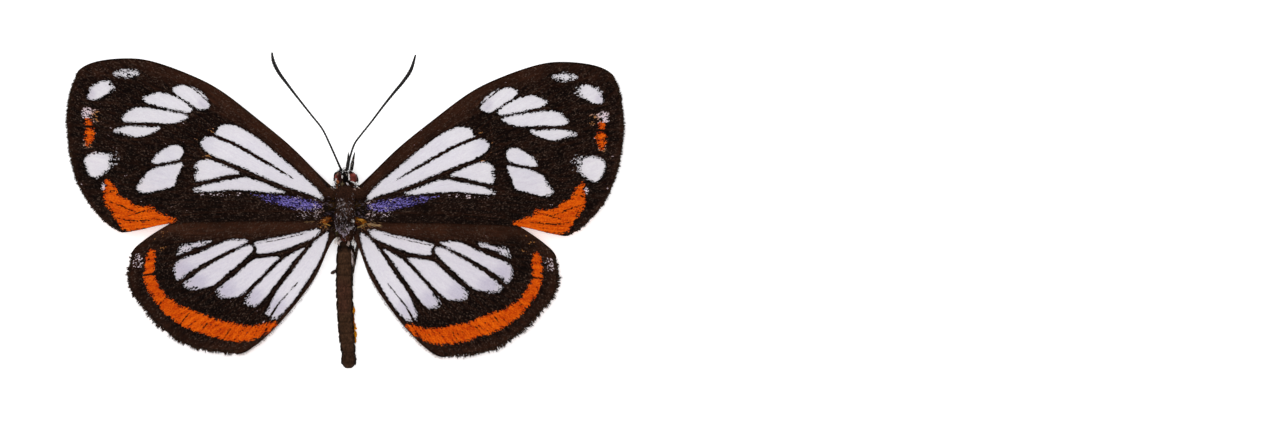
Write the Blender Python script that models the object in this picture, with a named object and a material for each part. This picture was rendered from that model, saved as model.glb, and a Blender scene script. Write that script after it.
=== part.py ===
"""Spread, dried butterfly lying on its underside.

World units are metres. Outlines and stations below are written in
millimetres and turned into metres where the meshes are made.
The origin is on the surface that the butterfly rests on, below the thorax.
+Z is up, +Y points to the head and +X to the butterfly's right.
"""

import bisect
import math

import bmesh
import bpy
from mathutils import Euler, Matrix, Vector

MM = 0.001

# Levels above the resting surface, in millimetres
FOREWING_Z = 2.32
HINDWING_Z = 1.98
WING_DROOP = 0.85
WING_SPAN_HALF = 23.0
WING_ARCH = 0.16
WING_HALF_THICKNESS = 0.045
WING_ROOT_SWELL = 0.055

# Number of mesh cells from root to outer edge, and from trailing to leading edge
FOREWING_CELLS = (27, 13)
HINDWING_CELLS = (21, 17)

# How the right wings are set, compared with mirrored left ones:
# lean of x along y, turn of y along x, stretch of y, shift of x and shift of y
RIGHT_FOREWING_SET = (0.012, -0.013, 0.0, -0.08, -0.06)
RIGHT_HINDWING_SET = (0.065, -0.015, 0.01, 0.0, 0.0)

# Left wing edges from the front of the root, round the wing, to the rear of the root.
# The two marked corners split each edge into leading, outer and trailing edge.
FOREWING_EDGE = [
    (-1.16, 1.66), (-2.32, 3.06), (-4.37, 5.17), (-7.0, 7.36), (-10.23, 9.83), (-13.0, 11.22),
    (-16.0, 12.24), (-18.2, 12.44), (-20.5, 12.16), (-21.9, 11.44), (-22.55, 10.12),
    (-22.85, 8.53), (-22.97, 7.0), (-22.72, 4.78), (-22.21, 2.61), (-21.35, 0.83),
    (-20.27, -0.54), (-19.25, -1.42), (-18.36, -1.83), (-16.99, -1.66), (-14.0, -1.07),
    (-9.0, -0.93), (-3.0, -0.91), (-1.16, -0.72),
]
FOREWING_APEX = 9
FOREWING_TORNUS = 18
HINDWING_EDGE = [
    (-1.06, -0.3), (-1.9, 0.3), (-4.2, 0.47), (-7.74, 0.45), (-12.14, 0.05), (-14.7, -1.3),
    (-16.49, -2.46), (-17.52, -3.48), (-18.03, -5.3), (-17.72, -6.8), (-16.9, -7.89),
    (-15.78, -9.27), (-13.73, -10.91), (-11.6, -11.66), (-8.8, -11.83), (-7.4, -11.15),
    (-5.84, -9.78), (-4.1, -7.79), (-2.46, -5.53), (-1.5, -3.4), (-1.06, -2.1),
]
HINDWING_APEX = 7
HINDWING_TORNUS = 14

# Thorax stations: y, middle x, half width, bottom z, top z
THORAX_STATIONS = [
    (1.98, 0.04, 0.40, 1.05, 2.35),
    (1.82, 0.04, 0.72, 0.55, 2.70),
    (1.50, 0.02, 0.92, -0.15, 2.92),
    (1.00, 0.0, 0.98, -0.15, 3.06),
    (0.50, 0.0, 1.00, -0.15, 3.12),
    (0.05, 0.0, 1.00, 0.27, 3.14),
    (-0.50, 0.0, 0.97, 0.32, 3.08),
    (-1.10, 0.0, 0.92, 0.36, 2.94),
    (-1.70, 0.0, 0.84, 0.62, 2.70),
    (-2.20, -0.01, 0.70, 0.80, 2.48),
    (-2.52, -0.02, 0.46, 0.98, 2.22),
]
THORAX_SIDES = 20

# Abdomen stations, without the dips between its rings
ABDOMEN_STATIONS = [
    (-2.60, -0.02, 0.34, 1.15, 2.05),
    (-2.75, -0.02, 0.52, 1.02, 2.20),
    (-3.40, -0.03, 0.62, 0.92, 2.26),
    (-5.93, -0.08, 0.65, 0.66, 2.10),
    (-8.34, -0.02, 0.63, 0.36, 1.86),
    (-10.75, 0.14, 0.60, 0.10, 1.58),
    (-11.70, 0.24, 0.53, 0.04, 1.42),
    (-12.25, 0.25, 0.62, -0.05, 1.34),
    (-12.70, 0.24, 0.52, -0.05, 1.20),
    (-12.98, 0.22, 0.26, 0.22, 0.92),
]
ABDOMEN_RING_ENDS = (-3.4, -4.4, -5.35, -6.3, -7.3, -8.3, -9.2, -10.1, -10.95, -11.7)
ABDOMEN_RING_DIP = 0.035
ABDOMEN_SIDES = 16

# Head, rolled so that its left side hangs lower
HEAD_MIDDLE = (0.05, 2.60, 1.78)
HEAD_RADII = (0.36, 0.55, 0.68)
HEAD_ROLL_DEG = -17.0
EYE_RADIUS_Y = 0.54
EYE_RADIUS_Z = 0.56
EYE_BASE_X = 0.42
EYE_DEPTH = 0.56

# Routes along thin parts: x, y, z, radius
ANTENNA_LEFT_ROUTE = [
    (-0.26, 3.18, 2.34, 0.075), (-0.50, 3.75, 2.50, 0.055), (-1.23, 5.40, 2.62, 0.052),
    (-1.85, 6.65, 2.66, 0.050), (-2.75, 7.80, 2.68, 0.052), (-3.81, 9.14, 2.66, 0.060),
    (-4.70, 10.30, 2.60, 0.076), (-5.41, 11.27, 2.52, 0.094), (-5.85, 12.16, 2.42, 0.092),
    (-5.98, 12.94, 2.34, 0.045),
]
ANTENNA_RIGHT_ROUTE = [
    (0.17, 3.20, 2.44, 0.075), (0.42, 4.29, 2.56, 0.055), (0.79, 5.39, 2.64, 0.052),
    (1.32, 6.14, 2.68, 0.050), (2.23, 7.28, 2.70, 0.052), (3.14, 8.49, 2.68, 0.060),
    (4.05, 9.63, 2.62, 0.074), (4.80, 10.54, 2.56, 0.090), (5.42, 11.50, 2.46, 0.094),
    (5.80, 12.74, 2.34, 0.045),
]
PALP_LEFT_ROUTE = [
    (0.12, 3.22, 1.50, 0.11), (0.20, 3.60, 1.62, 0.12), (0.25, 4.15, 1.82, 0.085), (0.27, 4.74, 2.0, 0.03),
]
PALP_RIGHT_ROUTE = [
    (0.50, 3.24, 1.62, 0.11), (0.56, 3.62, 1.74, 0.12), (0.66, 4.15, 1.90, 0.085), (0.80, 4.74, 2.06, 0.03),
]
MIDLEG_LEFT_ROUTE = [
    (-1.03, 1.20, 0.72, 0.10), (-0.92, 0.85, 0.34, 0.11), (-0.62, 0.38, 0.13, 0.12),
    (-0.14, -0.45, 0.12, 0.12), (-0.04, -1.30, 0.12, 0.11), (0.02, -2.10, 0.12, 0.10),
    (0.26, -3.20, 0.12, 0.10), (0.30, -4.60, 0.12, 0.10), (0.20, -6.00, 0.12, 0.10),
    (0.17, -6.72, 0.12, 0.07),
]
MIDLEG_RIGHT_ROUTE = [
    (1.03, 1.15, 0.72, 0.10), (0.92, 0.80, 0.34, 0.11), (0.62, 0.30, 0.13, 0.12),
    (0.24, -0.50, 0.12, 0.12), (0.25, -1.30, 0.13, 0.11), (0.28, -2.00, 0.22, 0.10),
    (0.22, -2.90, 0.42, 0.10), (0.04, -3.80, 0.44, 0.10), (-0.14, -4.32, 0.36, 0.11),
    (-0.62, -4.84, 0.26, 0.13), (-1.24, -5.23, 0.14, 0.13),
]
HINDLEG_LEFT_ROUTE = [
    (-1.17, 0.05, 0.90, 0.10), (-0.98, -0.50, 0.46, 0.12), (-0.62, -1.20, 0.25, 0.12),
    (-0.36, -1.95, 0.34, 0.11), (-0.14, -2.70, 0.52, 0.10), (-0.12, -3.50, 0.62, 0.08),
]
HINDLEG_RIGHT_ROUTE = [
    (1.12, -1.45, 1.0, 0.10), (1.06, -2.10, 0.72, 0.12), (0.98, -2.90, 0.42, 0.12),
    (0.80, -3.80, 0.20, 0.11), (0.58, -4.90, 0.12, 0.10), (0.46, -6.00, 0.12, 0.10),
    (0.43, -6.50, 0.12, 0.07),
]
TUBE_SIDES = 7


def clear_scene():
    """Remove whatever the open file starts with."""
    for old in list(bpy.data.objects):
        bpy.data.objects.remove(old, do_unlink=True)


def make_material(name, colour, roughness, metallic=0.0):
    """Make one plain Principled material from a linear colour."""
    material = bpy.data.materials.new(name)
    material.use_nodes = True
    shader = material.node_tree.nodes["Principled BSDF"]
    shader.inputs["Base Color"].default_value = (*colour, 1.0)
    shader.inputs["Roughness"].default_value = roughness
    shader.inputs["Metallic"].default_value = metallic
    return material


def add_piece(name, bm, material, smooth_angle_deg=50.0):
    """Turn a bmesh in millimetres into a named object in metres."""
    bmesh.ops.recalc_face_normals(bm, faces=bm.faces)
    bmesh.ops.scale(bm, vec=Vector((MM, MM, MM)), verts=bm.verts)
    mesh = bpy.data.meshes.new(name)
    bm.to_mesh(mesh)
    bm.free()
    mesh.materials.append(material)
    mesh.shade_smooth()
    mesh.set_sharp_from_angle(angle=math.radians(smooth_angle_deg))
    piece = bpy.data.objects.new(name, mesh)
    bpy.context.scene.collection.objects.link(piece)
    return piece


def spline_point(points, index, t):
    """Point on the smooth curve through the points, between index and index + 1."""
    before = points[max(index - 1, 0)]
    start = points[index]
    end = points[index + 1]
    after = points[min(index + 2, len(points) - 1)]
    value = []
    for p0, p1, p2, p3 in zip(before, start, end, after):
        slope_1 = 0.5 * (p2 - p0)
        slope_2 = 0.5 * (p3 - p1)
        value.append(
            (2 * t**3 - 3 * t**2 + 1) * p1 + (t**3 - 2 * t**2 + t) * slope_1
            + (3 * t**2 - 2 * t**3) * p2 + (t**3 - t**2) * slope_2
        )
    return tuple(value)


def smooth_run(points, first, last, count, steps=12):
    """Resample the smooth curve from point first to point last into count equal steps."""
    fine = []
    for index in range(first, last):
        fine.extend(spline_point(points, index, step / steps) for step in range(steps))
    fine.append(tuple(points[last]))
    lengths = [0.0]
    for start, end in zip(fine, fine[1:]):
        lengths.append(lengths[-1] + math.dist(start[:2], end[:2]))
    run = []
    for number in range(count + 1):
        target = lengths[-1] * number / count
        at = min(max(bisect.bisect_right(lengths, target) - 1, 0), len(fine) - 2)
        span = lengths[at + 1] - lengths[at]
        t = (target - lengths[at]) / span if span > 0 else 0.0
        run.append(tuple(a + (b - a) * t for a, b in zip(fine[at], fine[at + 1])))
    return run


def wing_grid(edge, apex, tornus, cells):
    """Fill a wing edge with a regular net of points, root to tip and rear to front."""
    along, across = cells
    front = smooth_run(edge, 0, apex, along)
    outer = smooth_run(edge, apex, tornus, across)[::-1]
    rear = smooth_run(edge, tornus, len(edge) - 1, along)[::-1]
    root = [
        tuple(a + (b - a) * step / across for a, b in zip(edge[-1], edge[0]))
        for step in range(across + 1)
    ]
    net = []
    for i in range(along + 1):
        u = i / along
        row = []
        for j in range(across + 1):
            v = j / across
            point = []
            for axis in range(2):
                sides = (1 - v) * rear[i][axis] + v * front[i][axis]
                ends = (1 - u) * root[j][axis] + u * outer[j][axis]
                corners = (
                    (1 - u) * (1 - v) * rear[0][axis] + u * (1 - v) * rear[-1][axis]
                    + (1 - u) * v * front[0][axis] + u * v * front[-1][axis]
                )
                point.append(sides + ends - corners)
            row.append(tuple(point))
        net.append(row)
    return net


def wing_level(x, base_z):
    """Height of a wing's middle surface at a distance x from the body."""
    reach = min(max((abs(x) - 1.0) / (WING_SPAN_HALF - 1.0), 0.0), 1.0)
    return base_z - WING_DROOP * reach**1.7 + WING_ARCH * math.sin(math.pi * reach)


def wing_half_thickness(u):
    """Half the wing's thickness, u running from 0 at the root to 1 at the edge."""
    return WING_HALF_THICKNESS + WING_ROOT_SWELL * (1 - u) ** 3


def set_right(x, y, right_set):
    """Mirror a left wing point and give it the right wing's set."""
    lean, turn, stretch, shift_x, shift_y = right_set
    x = -x
    return x + lean * y + shift_x, y + turn * x + stretch * y + shift_y


def make_wing(name, material, edge, apex, tornus, cells, base_z, right_set=None):
    """Make one closed, thin wing from its edge."""
    net = wing_grid(edge, apex, tornus, cells)
    along, across = cells
    bm = bmesh.new()
    faces_z = {}
    for side in (1, -1):
        for i, row in enumerate(net):
            for j, (x, y) in enumerate(row):
                z = wing_level(x, base_z) + side * wing_half_thickness(i / along)
                if right_set:
                    x, y = set_right(x, y, right_set)
                faces_z[side, i, j] = bm.verts.new((x, y, z))
    for side in (1, -1):
        for i in range(along):
            for j in range(across):
                corners = [(i, j), (i + 1, j), (i + 1, j + 1), (i, j + 1)]
                bm.faces.new([faces_z[side, a, b] for a, b in corners])
    rim = [(i, 0) for i in range(along)]
    rim += [(along, j) for j in range(across)]
    rim += [(i, across) for i in range(along, 0, -1)]
    rim += [(0, j) for j in range(across, 0, -1)]
    for start, end in zip(rim, rim[1:] + rim[:1]):
        bm.faces.new([
            faces_z[(1, *start)], faces_z[(1, *end)],
            faces_z[(-1, *end)], faces_z[(-1, *start)],
        ])
    return add_piece(name, bm, material)


def close_rings(bm, rings):
    """Join rings of vertices into a closed skin with flat-fan ends."""
    sides = len(rings[0])
    for ring_a, ring_b in zip(rings, rings[1:]):
        for k in range(sides):
            following = (k + 1) % sides
            bm.faces.new((ring_a[k], ring_a[following], ring_b[following], ring_b[k]))
    for ring in (rings[0], rings[-1]):
        middle = sum((vert.co for vert in ring), Vector()) / sides
        tip = bm.verts.new(middle)
        for k in range(sides):
            bm.faces.new((ring[k], ring[(k + 1) % sides], tip))


def body_ring(bm, station, sides, belly_power, back_power, floor_z=0.0):
    """Add one upright body ring, cut flat where it would pass the resting surface."""
    y, middle_x, half_width, bottom, top = station
    middle_z = bottom + 0.5 * (top - bottom)
    half_height = 0.5 * (top - bottom)
    ring = []
    for k in range(sides):
        angle = 2 * math.pi * (k + 0.5) / sides
        across, up = math.cos(angle), math.sin(angle)
        power = back_power if up > 0 else belly_power
        reach = (abs(across) ** power + abs(up) ** power) ** (-1 / power)
        x = middle_x + half_width * reach * across
        z = middle_z + half_height * reach * up
        ring.append(bm.verts.new((x, y, max(z, floor_z))))
    return ring


def make_thorax(material):
    """Make the thorax, with the flat keel that the butterfly rests on."""
    bm = bmesh.new()
    rings = [body_ring(bm, station, THORAX_SIDES, 1.7, 2.2) for station in THORAX_STATIONS]
    close_rings(bm, rings)
    return add_piece("thorax", bm, material)


def abdomen_rings():
    """Stations along the abdomen, drawn in a little where two rings meet."""
    tail = [station for station in ABDOMEN_STATIONS if station[0] < ABDOMEN_RING_ENDS[-1]]
    heads = [station for station in ABDOMEN_STATIONS if station[0] > ABDOMEN_RING_ENDS[0]]
    middle = []
    stations = ABDOMEN_STATIONS
    places = []
    for start, end in zip(ABDOMEN_RING_ENDS, ABDOMEN_RING_ENDS[1:]):
        places.append((start, -ABDOMEN_RING_DIP))
        places.append((0.5 * (start + end), ABDOMEN_RING_DIP))
    places.append((ABDOMEN_RING_ENDS[-1], -ABDOMEN_RING_DIP))
    for y, swell in places:
        for upper, lower in zip(stations, stations[1:]):
            if lower[0] <= y <= upper[0]:
                t = (upper[0] - y) / (upper[0] - lower[0])
                x, width, bottom, top = (a + (b - a) * t for a, b in zip(upper[1:], lower[1:]))
                middle.append((y, x, width + swell, bottom - swell, top + swell))
                break
    return heads + middle + tail


def make_abdomen(material):
    """Make the abdomen with its rings and its broad tip."""
    bm = bmesh.new()
    rings = [body_ring(bm, station, ABDOMEN_SIDES, 2.1, 2.1) for station in abdomen_rings()]
    close_rings(bm, rings)
    return add_piece("abdomen", bm, material)


def head_roll():
    """Matrix that rolls the head about its middle."""
    middle = Vector(HEAD_MIDDLE)
    roll = Euler((0.0, math.radians(HEAD_ROLL_DEG), 0.0)).to_matrix().to_4x4()
    return Matrix.Translation(middle) @ roll @ Matrix.Translation(-middle)


def make_head(material):
    """Make the head between the eyes."""
    bm = bmesh.new()
    bmesh.ops.create_uvsphere(bm, u_segments=14, v_segments=9, radius=1.0)
    bmesh.ops.scale(bm, vec=Vector(HEAD_RADII), verts=bm.verts)
    bmesh.ops.translate(bm, vec=Vector(HEAD_MIDDLE), verts=bm.verts)
    bmesh.ops.transform(bm, matrix=head_roll(), verts=bm.verts)
    return add_piece("head", bm, material)


def make_eye(name, material, side):
    """Make one domed eye on the side of the head: side is -1 for left, 1 for right."""
    sides = 14
    bm = bmesh.new()
    rings = []
    for step in range(6):
        angle = 0.5 * math.pi * step / 6
        depth = EYE_DEPTH * math.sin(angle)
        size = math.cos(angle)
        ring = []
        for k in range(sides):
            turn = 2 * math.pi * k / sides
            ring.append(bm.verts.new((
                HEAD_MIDDLE[0] + side * (EYE_BASE_X + depth),
                HEAD_MIDDLE[1] + EYE_RADIUS_Y * size * math.cos(turn),
                HEAD_MIDDLE[2] + EYE_RADIUS_Z * size * math.sin(turn),
            )))
        rings.append(ring)
    close_rings(bm, rings)
    bmesh.ops.transform(bm, matrix=head_roll(), verts=bm.verts)
    return add_piece(name, bm, material)


def make_tube(name, material, route, count):
    """Make a round limb whose thickness changes along its route."""
    bm = bmesh.new()
    stations = smooth_run(route, 0, len(route) - 1, count)
    rings = []
    for index, (x, y, z, radius) in enumerate(stations):
        before = Vector(stations[max(index - 1, 0)][:3])
        after = Vector(stations[min(index + 1, count)][:3])
        forward = (after - before).normalized()
        sideways = forward.cross(Vector((0.0, 0.0, 1.0))).normalized()
        upward = sideways.cross(forward)
        ring = []
        for k in range(TUBE_SIDES):
            turn = 2 * math.pi * (k + 0.25) / TUBE_SIDES
            offset = radius * (math.cos(turn) * sideways + math.sin(turn) * upward)
            ring.append(bm.verts.new(Vector((x, y, z)) + offset))
        rings.append(ring)
    close_rings(bm, rings)
    return add_piece(name, bm, material)


def main():
    """Build the whole butterfly."""
    clear_scene()
    wing_scales = make_material("wing scales, black brown", (0.010, 0.006, 0.004), 0.75)
    body_scales = make_material("body scales, dark brown", (0.016, 0.010, 0.007), 0.85)
    eye_skin = make_material("eye, dark red brown", (0.055, 0.012, 0.010), 0.30)
    horn_black = make_material("antenna, black", (0.005, 0.004, 0.004), 0.55)
    leg_brown = make_material("leg, brown", (0.045, 0.022, 0.010), 0.60)

    fore = (FOREWING_EDGE, FOREWING_APEX, FOREWING_TORNUS, FOREWING_CELLS, FOREWING_Z)
    hind = (HINDWING_EDGE, HINDWING_APEX, HINDWING_TORNUS, HINDWING_CELLS, HINDWING_Z)
    make_wing("forewing_left", wing_scales, *fore)
    make_wing("forewing_right", wing_scales, *fore, right_set=RIGHT_FOREWING_SET)
    make_wing("hindwing_left", wing_scales, *hind)
    make_wing("hindwing_right", wing_scales, *hind, right_set=RIGHT_HINDWING_SET)
    make_thorax(body_scales)
    make_abdomen(body_scales)
    make_head(body_scales)
    make_eye("eye_left", eye_skin, -1)
    make_eye("eye_right", eye_skin, 1)
    make_tube("antenna_left", horn_black, ANTENNA_LEFT_ROUTE, 22)
    make_tube("antenna_right", horn_black, ANTENNA_RIGHT_ROUTE, 22)
    make_tube("palp_left", horn_black, PALP_LEFT_ROUTE, 6)
    make_tube("palp_right", horn_black, PALP_RIGHT_ROUTE, 6)
    make_tube("midleg_left", leg_brown, MIDLEG_LEFT_ROUTE, 16)
    make_tube("midleg_right", leg_brown, MIDLEG_RIGHT_ROUTE, 16)
    make_tube("hindleg_left", leg_brown, HINDLEG_LEFT_ROUTE, 9)
    make_tube("hindleg_right", leg_brown, HINDLEG_RIGHT_ROUTE, 12)


main()
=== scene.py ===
"""Dress a spread, dried butterfly and light it like a museum scan.

Outlines, routes and patterns are written in millimetres in the frame's own
axes: the origin is under the thorax, +Y points to the head and +Z is up.
Wing patterns are drawn once, on the left wing; the right wing is its mirror
image with its own set.
"""

import math

import bpy
import numpy as np
from bpy.props import FloatProperty, FloatVectorProperty, IntProperty, PointerProperty
from mathutils import Euler, Matrix, Vector


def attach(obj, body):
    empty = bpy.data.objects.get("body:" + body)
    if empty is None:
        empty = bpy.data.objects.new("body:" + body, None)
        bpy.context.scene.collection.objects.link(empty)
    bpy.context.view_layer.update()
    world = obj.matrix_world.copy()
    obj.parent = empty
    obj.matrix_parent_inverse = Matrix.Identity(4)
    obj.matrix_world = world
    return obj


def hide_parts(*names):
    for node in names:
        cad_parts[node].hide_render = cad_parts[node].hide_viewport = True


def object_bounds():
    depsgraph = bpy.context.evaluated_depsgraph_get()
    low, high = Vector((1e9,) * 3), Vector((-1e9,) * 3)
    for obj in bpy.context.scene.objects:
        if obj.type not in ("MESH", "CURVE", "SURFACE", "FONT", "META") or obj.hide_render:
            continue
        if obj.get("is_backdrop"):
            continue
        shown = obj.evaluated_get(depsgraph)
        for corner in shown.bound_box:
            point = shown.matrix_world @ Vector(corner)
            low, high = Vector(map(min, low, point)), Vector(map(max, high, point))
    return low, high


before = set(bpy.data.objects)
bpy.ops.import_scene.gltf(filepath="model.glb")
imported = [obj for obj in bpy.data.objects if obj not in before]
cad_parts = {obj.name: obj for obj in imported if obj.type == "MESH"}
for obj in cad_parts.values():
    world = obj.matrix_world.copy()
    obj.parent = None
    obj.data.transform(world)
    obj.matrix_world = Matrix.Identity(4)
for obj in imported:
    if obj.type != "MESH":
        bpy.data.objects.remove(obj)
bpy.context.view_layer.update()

bl_info = {
    "name": "Spread Butterfly",
    "version": (1, 0, 0),
    "blender": (4, 5, 0),
    "location": "View3D > Sidebar > Butterfly",
    "description": "Builds a spread, dried butterfly with scaled wings and a hairy body",
    "category": "Add Mesh",
}

MM = 0.001
WHITE = (1.0, 1.0, 1.0, 1.0)

# The stage, in metres: the card's size and its gap below the lowest point; the lamp's size and place,
# and its power in watts; the camera's place in plan, and the level that its distance is counted from
CARD_SIZE = 3.0
CARD_GAP = 0.02 * MM
LAMP_SIZE = 0.7
LAMP_PLACE = (-0.1, 0.15, 0.95)
LAMP_POWER = 7.0
CAMERA_PLACE = (24.18 * MM, -0.78 * MM)
CAMERA_BASE = 2.0 * MM
SENSOR_WIDTH_MM = 36.0

# Sockets of the Mix node when it mixes colours
MIX_FACTOR = 0
MIX_A = 6
MIX_B = 7
MIX_RESULT = 2

# Levels of the wings above the resting surface, how far they droop and arch out to half their span,
# and how much thicker they are at the root
FOREWING_Z = 2.32
HINDWING_Z = 1.98
WING_DROOP = 0.85
WING_SPAN_HALF = 23.0
WING_ARCH = 0.16
WING_ROOT_SWELL = 0.055

# How far a wing's root reaches under the body's hair, past its solid
ROOT_REACH = 0.45

# Half width of a vein's ridge, and how deep the membrane sags between veins
VEIN_WIDTH = 0.11
CELL_SAG = 0.05

# Fringe: gaps between hairs along the outer and the rear edge, the width of a tooth, and the length of
# a stretch that is worn alike
OUTER_STEP = 0.02
REAR_STEP = 0.05
TOOTH_WIDTH = 0.11
WORN_STRETCH = 0.9

# How far the hindwing's scales reach over the rims of its windows
WINDOW_RIM = 0.055

# The two sides of the body, and the direction of each along X
SIDES = (("left", -1), ("right", 1))

# Starts of the random draws; each fringe after the first has the next number
FRINGE_SEED = 10
THORAX_SEED = 3
HEAD_SEED = 5
COAT_SEED = 21

# How the right wings are set, compared with mirrored left ones:
# lean of x along y, turn of y along x, stretch of y, shift of x and shift of y
RIGHT_FOREWING_SET = (0.012, -0.013, 0.0, -0.08, -0.06)
RIGHT_HINDWING_SET = (0.065, -0.015, 0.01, 0.0, 0.0)

# Left wing edges from the front of the root, round the wing, to the rear of the root
FOREWING_EDGE = [
    (-1.16, 1.66), (-2.32, 3.06), (-4.37, 5.17), (-7.0, 7.36), (-10.23, 9.83), (-13.0, 11.22),
    (-16.0, 12.24), (-18.2, 12.44), (-20.5, 12.16), (-21.9, 11.44), (-22.55, 10.12),
    (-22.85, 8.53), (-22.97, 7.0), (-22.72, 4.78), (-22.21, 2.61), (-21.35, 0.83),
    (-20.27, -0.54), (-19.25, -1.42), (-18.36, -1.83), (-16.99, -1.66), (-14.0, -1.07),
    (-9.0, -0.93), (-3.0, -0.91), (-1.16, -0.72),
]
HINDWING_EDGE = [
    (-1.06, -0.3), (-1.9, 0.3), (-4.2, 0.47), (-7.74, 0.45), (-12.14, 0.05), (-14.7, -1.3),
    (-16.49, -2.46), (-17.52, -3.48), (-18.03, -5.3), (-17.72, -6.8), (-16.9, -7.89),
    (-15.78, -9.27), (-13.73, -10.91), (-11.6, -11.66), (-8.8, -11.83), (-7.4, -11.15),
    (-5.84, -9.78), (-4.1, -7.79), (-2.46, -5.53), (-1.5, -3.4), (-1.06, -2.1),
]

# Clear windows of the forewing, front row first
FOREWING_WINDOWS = [
    [(-18.95, 11.2), (-18.3, 11.42), (-17.5, 11.42), (-16.9, 11.25), (-17.3, 11.0), (-18.3, 10.98)],
    [(-21.15, 9.2), (-20.9, 9.85), (-20.3, 10.42), (-19.6, 10.58), (-19.15, 10.3), (-19.2, 9.8),
     (-19.8, 9.35), (-20.5, 9.05)],
    [(-14.12, 9.93), (-13.5, 10.23), (-12.6, 10.1), (-11.6, 9.5), (-11.08, 8.6), (-11.82, 8.2),
     (-12.91, 8.88), (-13.8, 9.45)],
    [(-16.54, 9.03), (-16.03, 9.45), (-15.14, 9.62), (-13.93, 9.29), (-12.91, 8.65), (-12.48, 8.21),
     (-12.91, 8.02), (-14.18, 8.27), (-15.71, 8.62)],
    [(-18.26, 7.57), (-17.75, 8.08), (-16.99, 8.40), (-15.52, 8.27), (-13.93, 7.98), (-12.84, 7.66),
     (-13.55, 7.28), (-14.31, 7.09), (-16.03, 7.18), (-17.88, 7.25)],
    [(-18.9, 6.45), (-18.26, 6.82), (-17.11, 6.88), (-15.97, 6.77), (-15.14, 6.8), (-15.71, 6.36),
     (-16.73, 6.04), (-17.3, 6.0), (-17.94, 6.2)],
    [(-15.8, 4.05), (-15.3, 4.62), (-14.5, 5.15), (-13.9, 5.32), (-13.33, 5.13), (-13.3, 4.6),
     (-13.6, 4.18), (-14.76, 3.92), (-15.6, 3.82)],
    [(-17.1, 1.8), (-16.6, 2.45), (-16.28, 3.03), (-15.46, 3.46), (-14.31, 3.7), (-13.42, 3.86),
     (-13.4, 3.5), (-13.77, 2.68), (-14.05, 1.97), (-15.08, 1.69), (-16.22, 1.4), (-16.85, 1.5)],
    [(-21.38, 4.14), (-21.0, 4.55), (-20.17, 4.70), (-19.45, 4.52), (-19.2, 4.0), (-19.4, 3.35),
     (-19.98, 2.87), (-20.6, 2.6), (-21.0, 2.95), (-21.29, 3.57)],
    [(-11.85, 5.6), (-11.3, 5.98), (-10.6, 6.3), (-10.3, 6.83), (-9.52, 6.99), (-8.61, 6.73),
     (-7.12, 5.84), (-5.36, 4.4), (-3.81, 3.06), (-2.82, 2.21), (-1.65, 0.84), (-2.82, 1.26),
     (-5.0, 2.01), (-7.48, 3.09), (-9.45, 3.92), (-11.08, 4.61), (-11.71, 5.17)],
    [(-12.2, 3.75), (-11.78, 4.04), (-11.1, 4.1), (-9.99, 3.69), (-8.64, 3.02), (-9.45, 2.9),
     (-10.58, 2.63), (-12.0, 2.39), (-12.25, 2.6), (-12.13, 3.2)],
    [(-12.3, 1.65), (-11.5, 2.04), (-9.99, 2.35), (-8.32, 2.65), (-7.34, 2.46), (-5.9, 1.87),
     (-4.97, 1.5), (-5.78, 1.42), (-7.05, 1.54), (-9.2, 1.67), (-11.29, 1.51)],
]
# Where the windows' rims break up into single scales: x, y, radius, softness
FOREWING_SOFT_SPOTS = [
    (-17.9, 11.2, 1.3, 0.3), (-18.8, 10.1, 0.9, 0.5), (-20.9, 10.1, 0.9, 0.3), (-16.3, 9.3, 0.7, 0.18),
    (-18.0, 8.0, 0.8, 0.22), (-18.6, 6.3, 0.8, 0.22), (-15.6, 4.6, 0.8, 0.18), (-16.8, 2.2, 1.0, 0.2),
    (-18.7, 4.3, 1.2, 0.8), (-20.3, 3.6, 1.4, 0.25), (-12.2, 3.2, 0.7, 0.3), (-12.3, 1.75, 0.7, 0.26),
    (-5.3, 1.5, 0.6, 0.16), (-11.3, 6.2, 0.7, 0.2),
]
# Dark lines over windows and bands: x, y, half width
FOREWING_UPPER_LINES = [
    [(-12.95, 10.25, 0.05), (-12.28, 9.83, 0.05), (-11.46, 9.13, 0.05), (-11.05, 8.72, 0.05)],
    [(-11.4, 6.35, 0.14), (-10.0, 5.81, 0.15), (-8.75, 5.24, 0.15), (-7.0, 4.22, 0.14),
     (-5.5, 3.34, 0.1), (-4.3, 2.6, 0.03)],
    [(-21.5, 6.85, 0.06), (-20.6, 6.85, 0.08)],
    [(-19.9, 1.33, 0.05), (-18.9, 1.6, 0.05)],
    [(-17.75, -0.45, 0.04), (-15.65, 0.13, 0.04)],
    [(-19.5, 0.75, 0.02), (-18.4, 0.35, 0.05), (-17.2, -0.15, 0.02)],
    [(-18.6, -0.7, 0.02), (-17.2, -0.9, 0.05), (-15.2, -0.75, 0.02)],
]
FOREWING_UNDER_LINES = [
    [(-12.95, 10.25, 0.05), (-12.28, 9.83, 0.05), (-11.46, 9.13, 0.05), (-11.05, 8.72, 0.05)],
    [(-11.4, 6.35, 0.06), (-10.0, 5.81, 0.07), (-8.75, 5.24, 0.06), (-7.0, 4.22, 0.05)],
    [(-21.8, 6.55, 0.1), (-20.2, 6.55, 0.1)],
    [(-21.8, 5.4, 0.08), (-20.3, 5.4, 0.1)],
    [(-20.2, 1.25, 0.06), (-18.9, 1.5, 0.06)],
    [(-19.6, -0.4, 0.06), (-17.4, 0.05, 0.05)],
]
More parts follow.
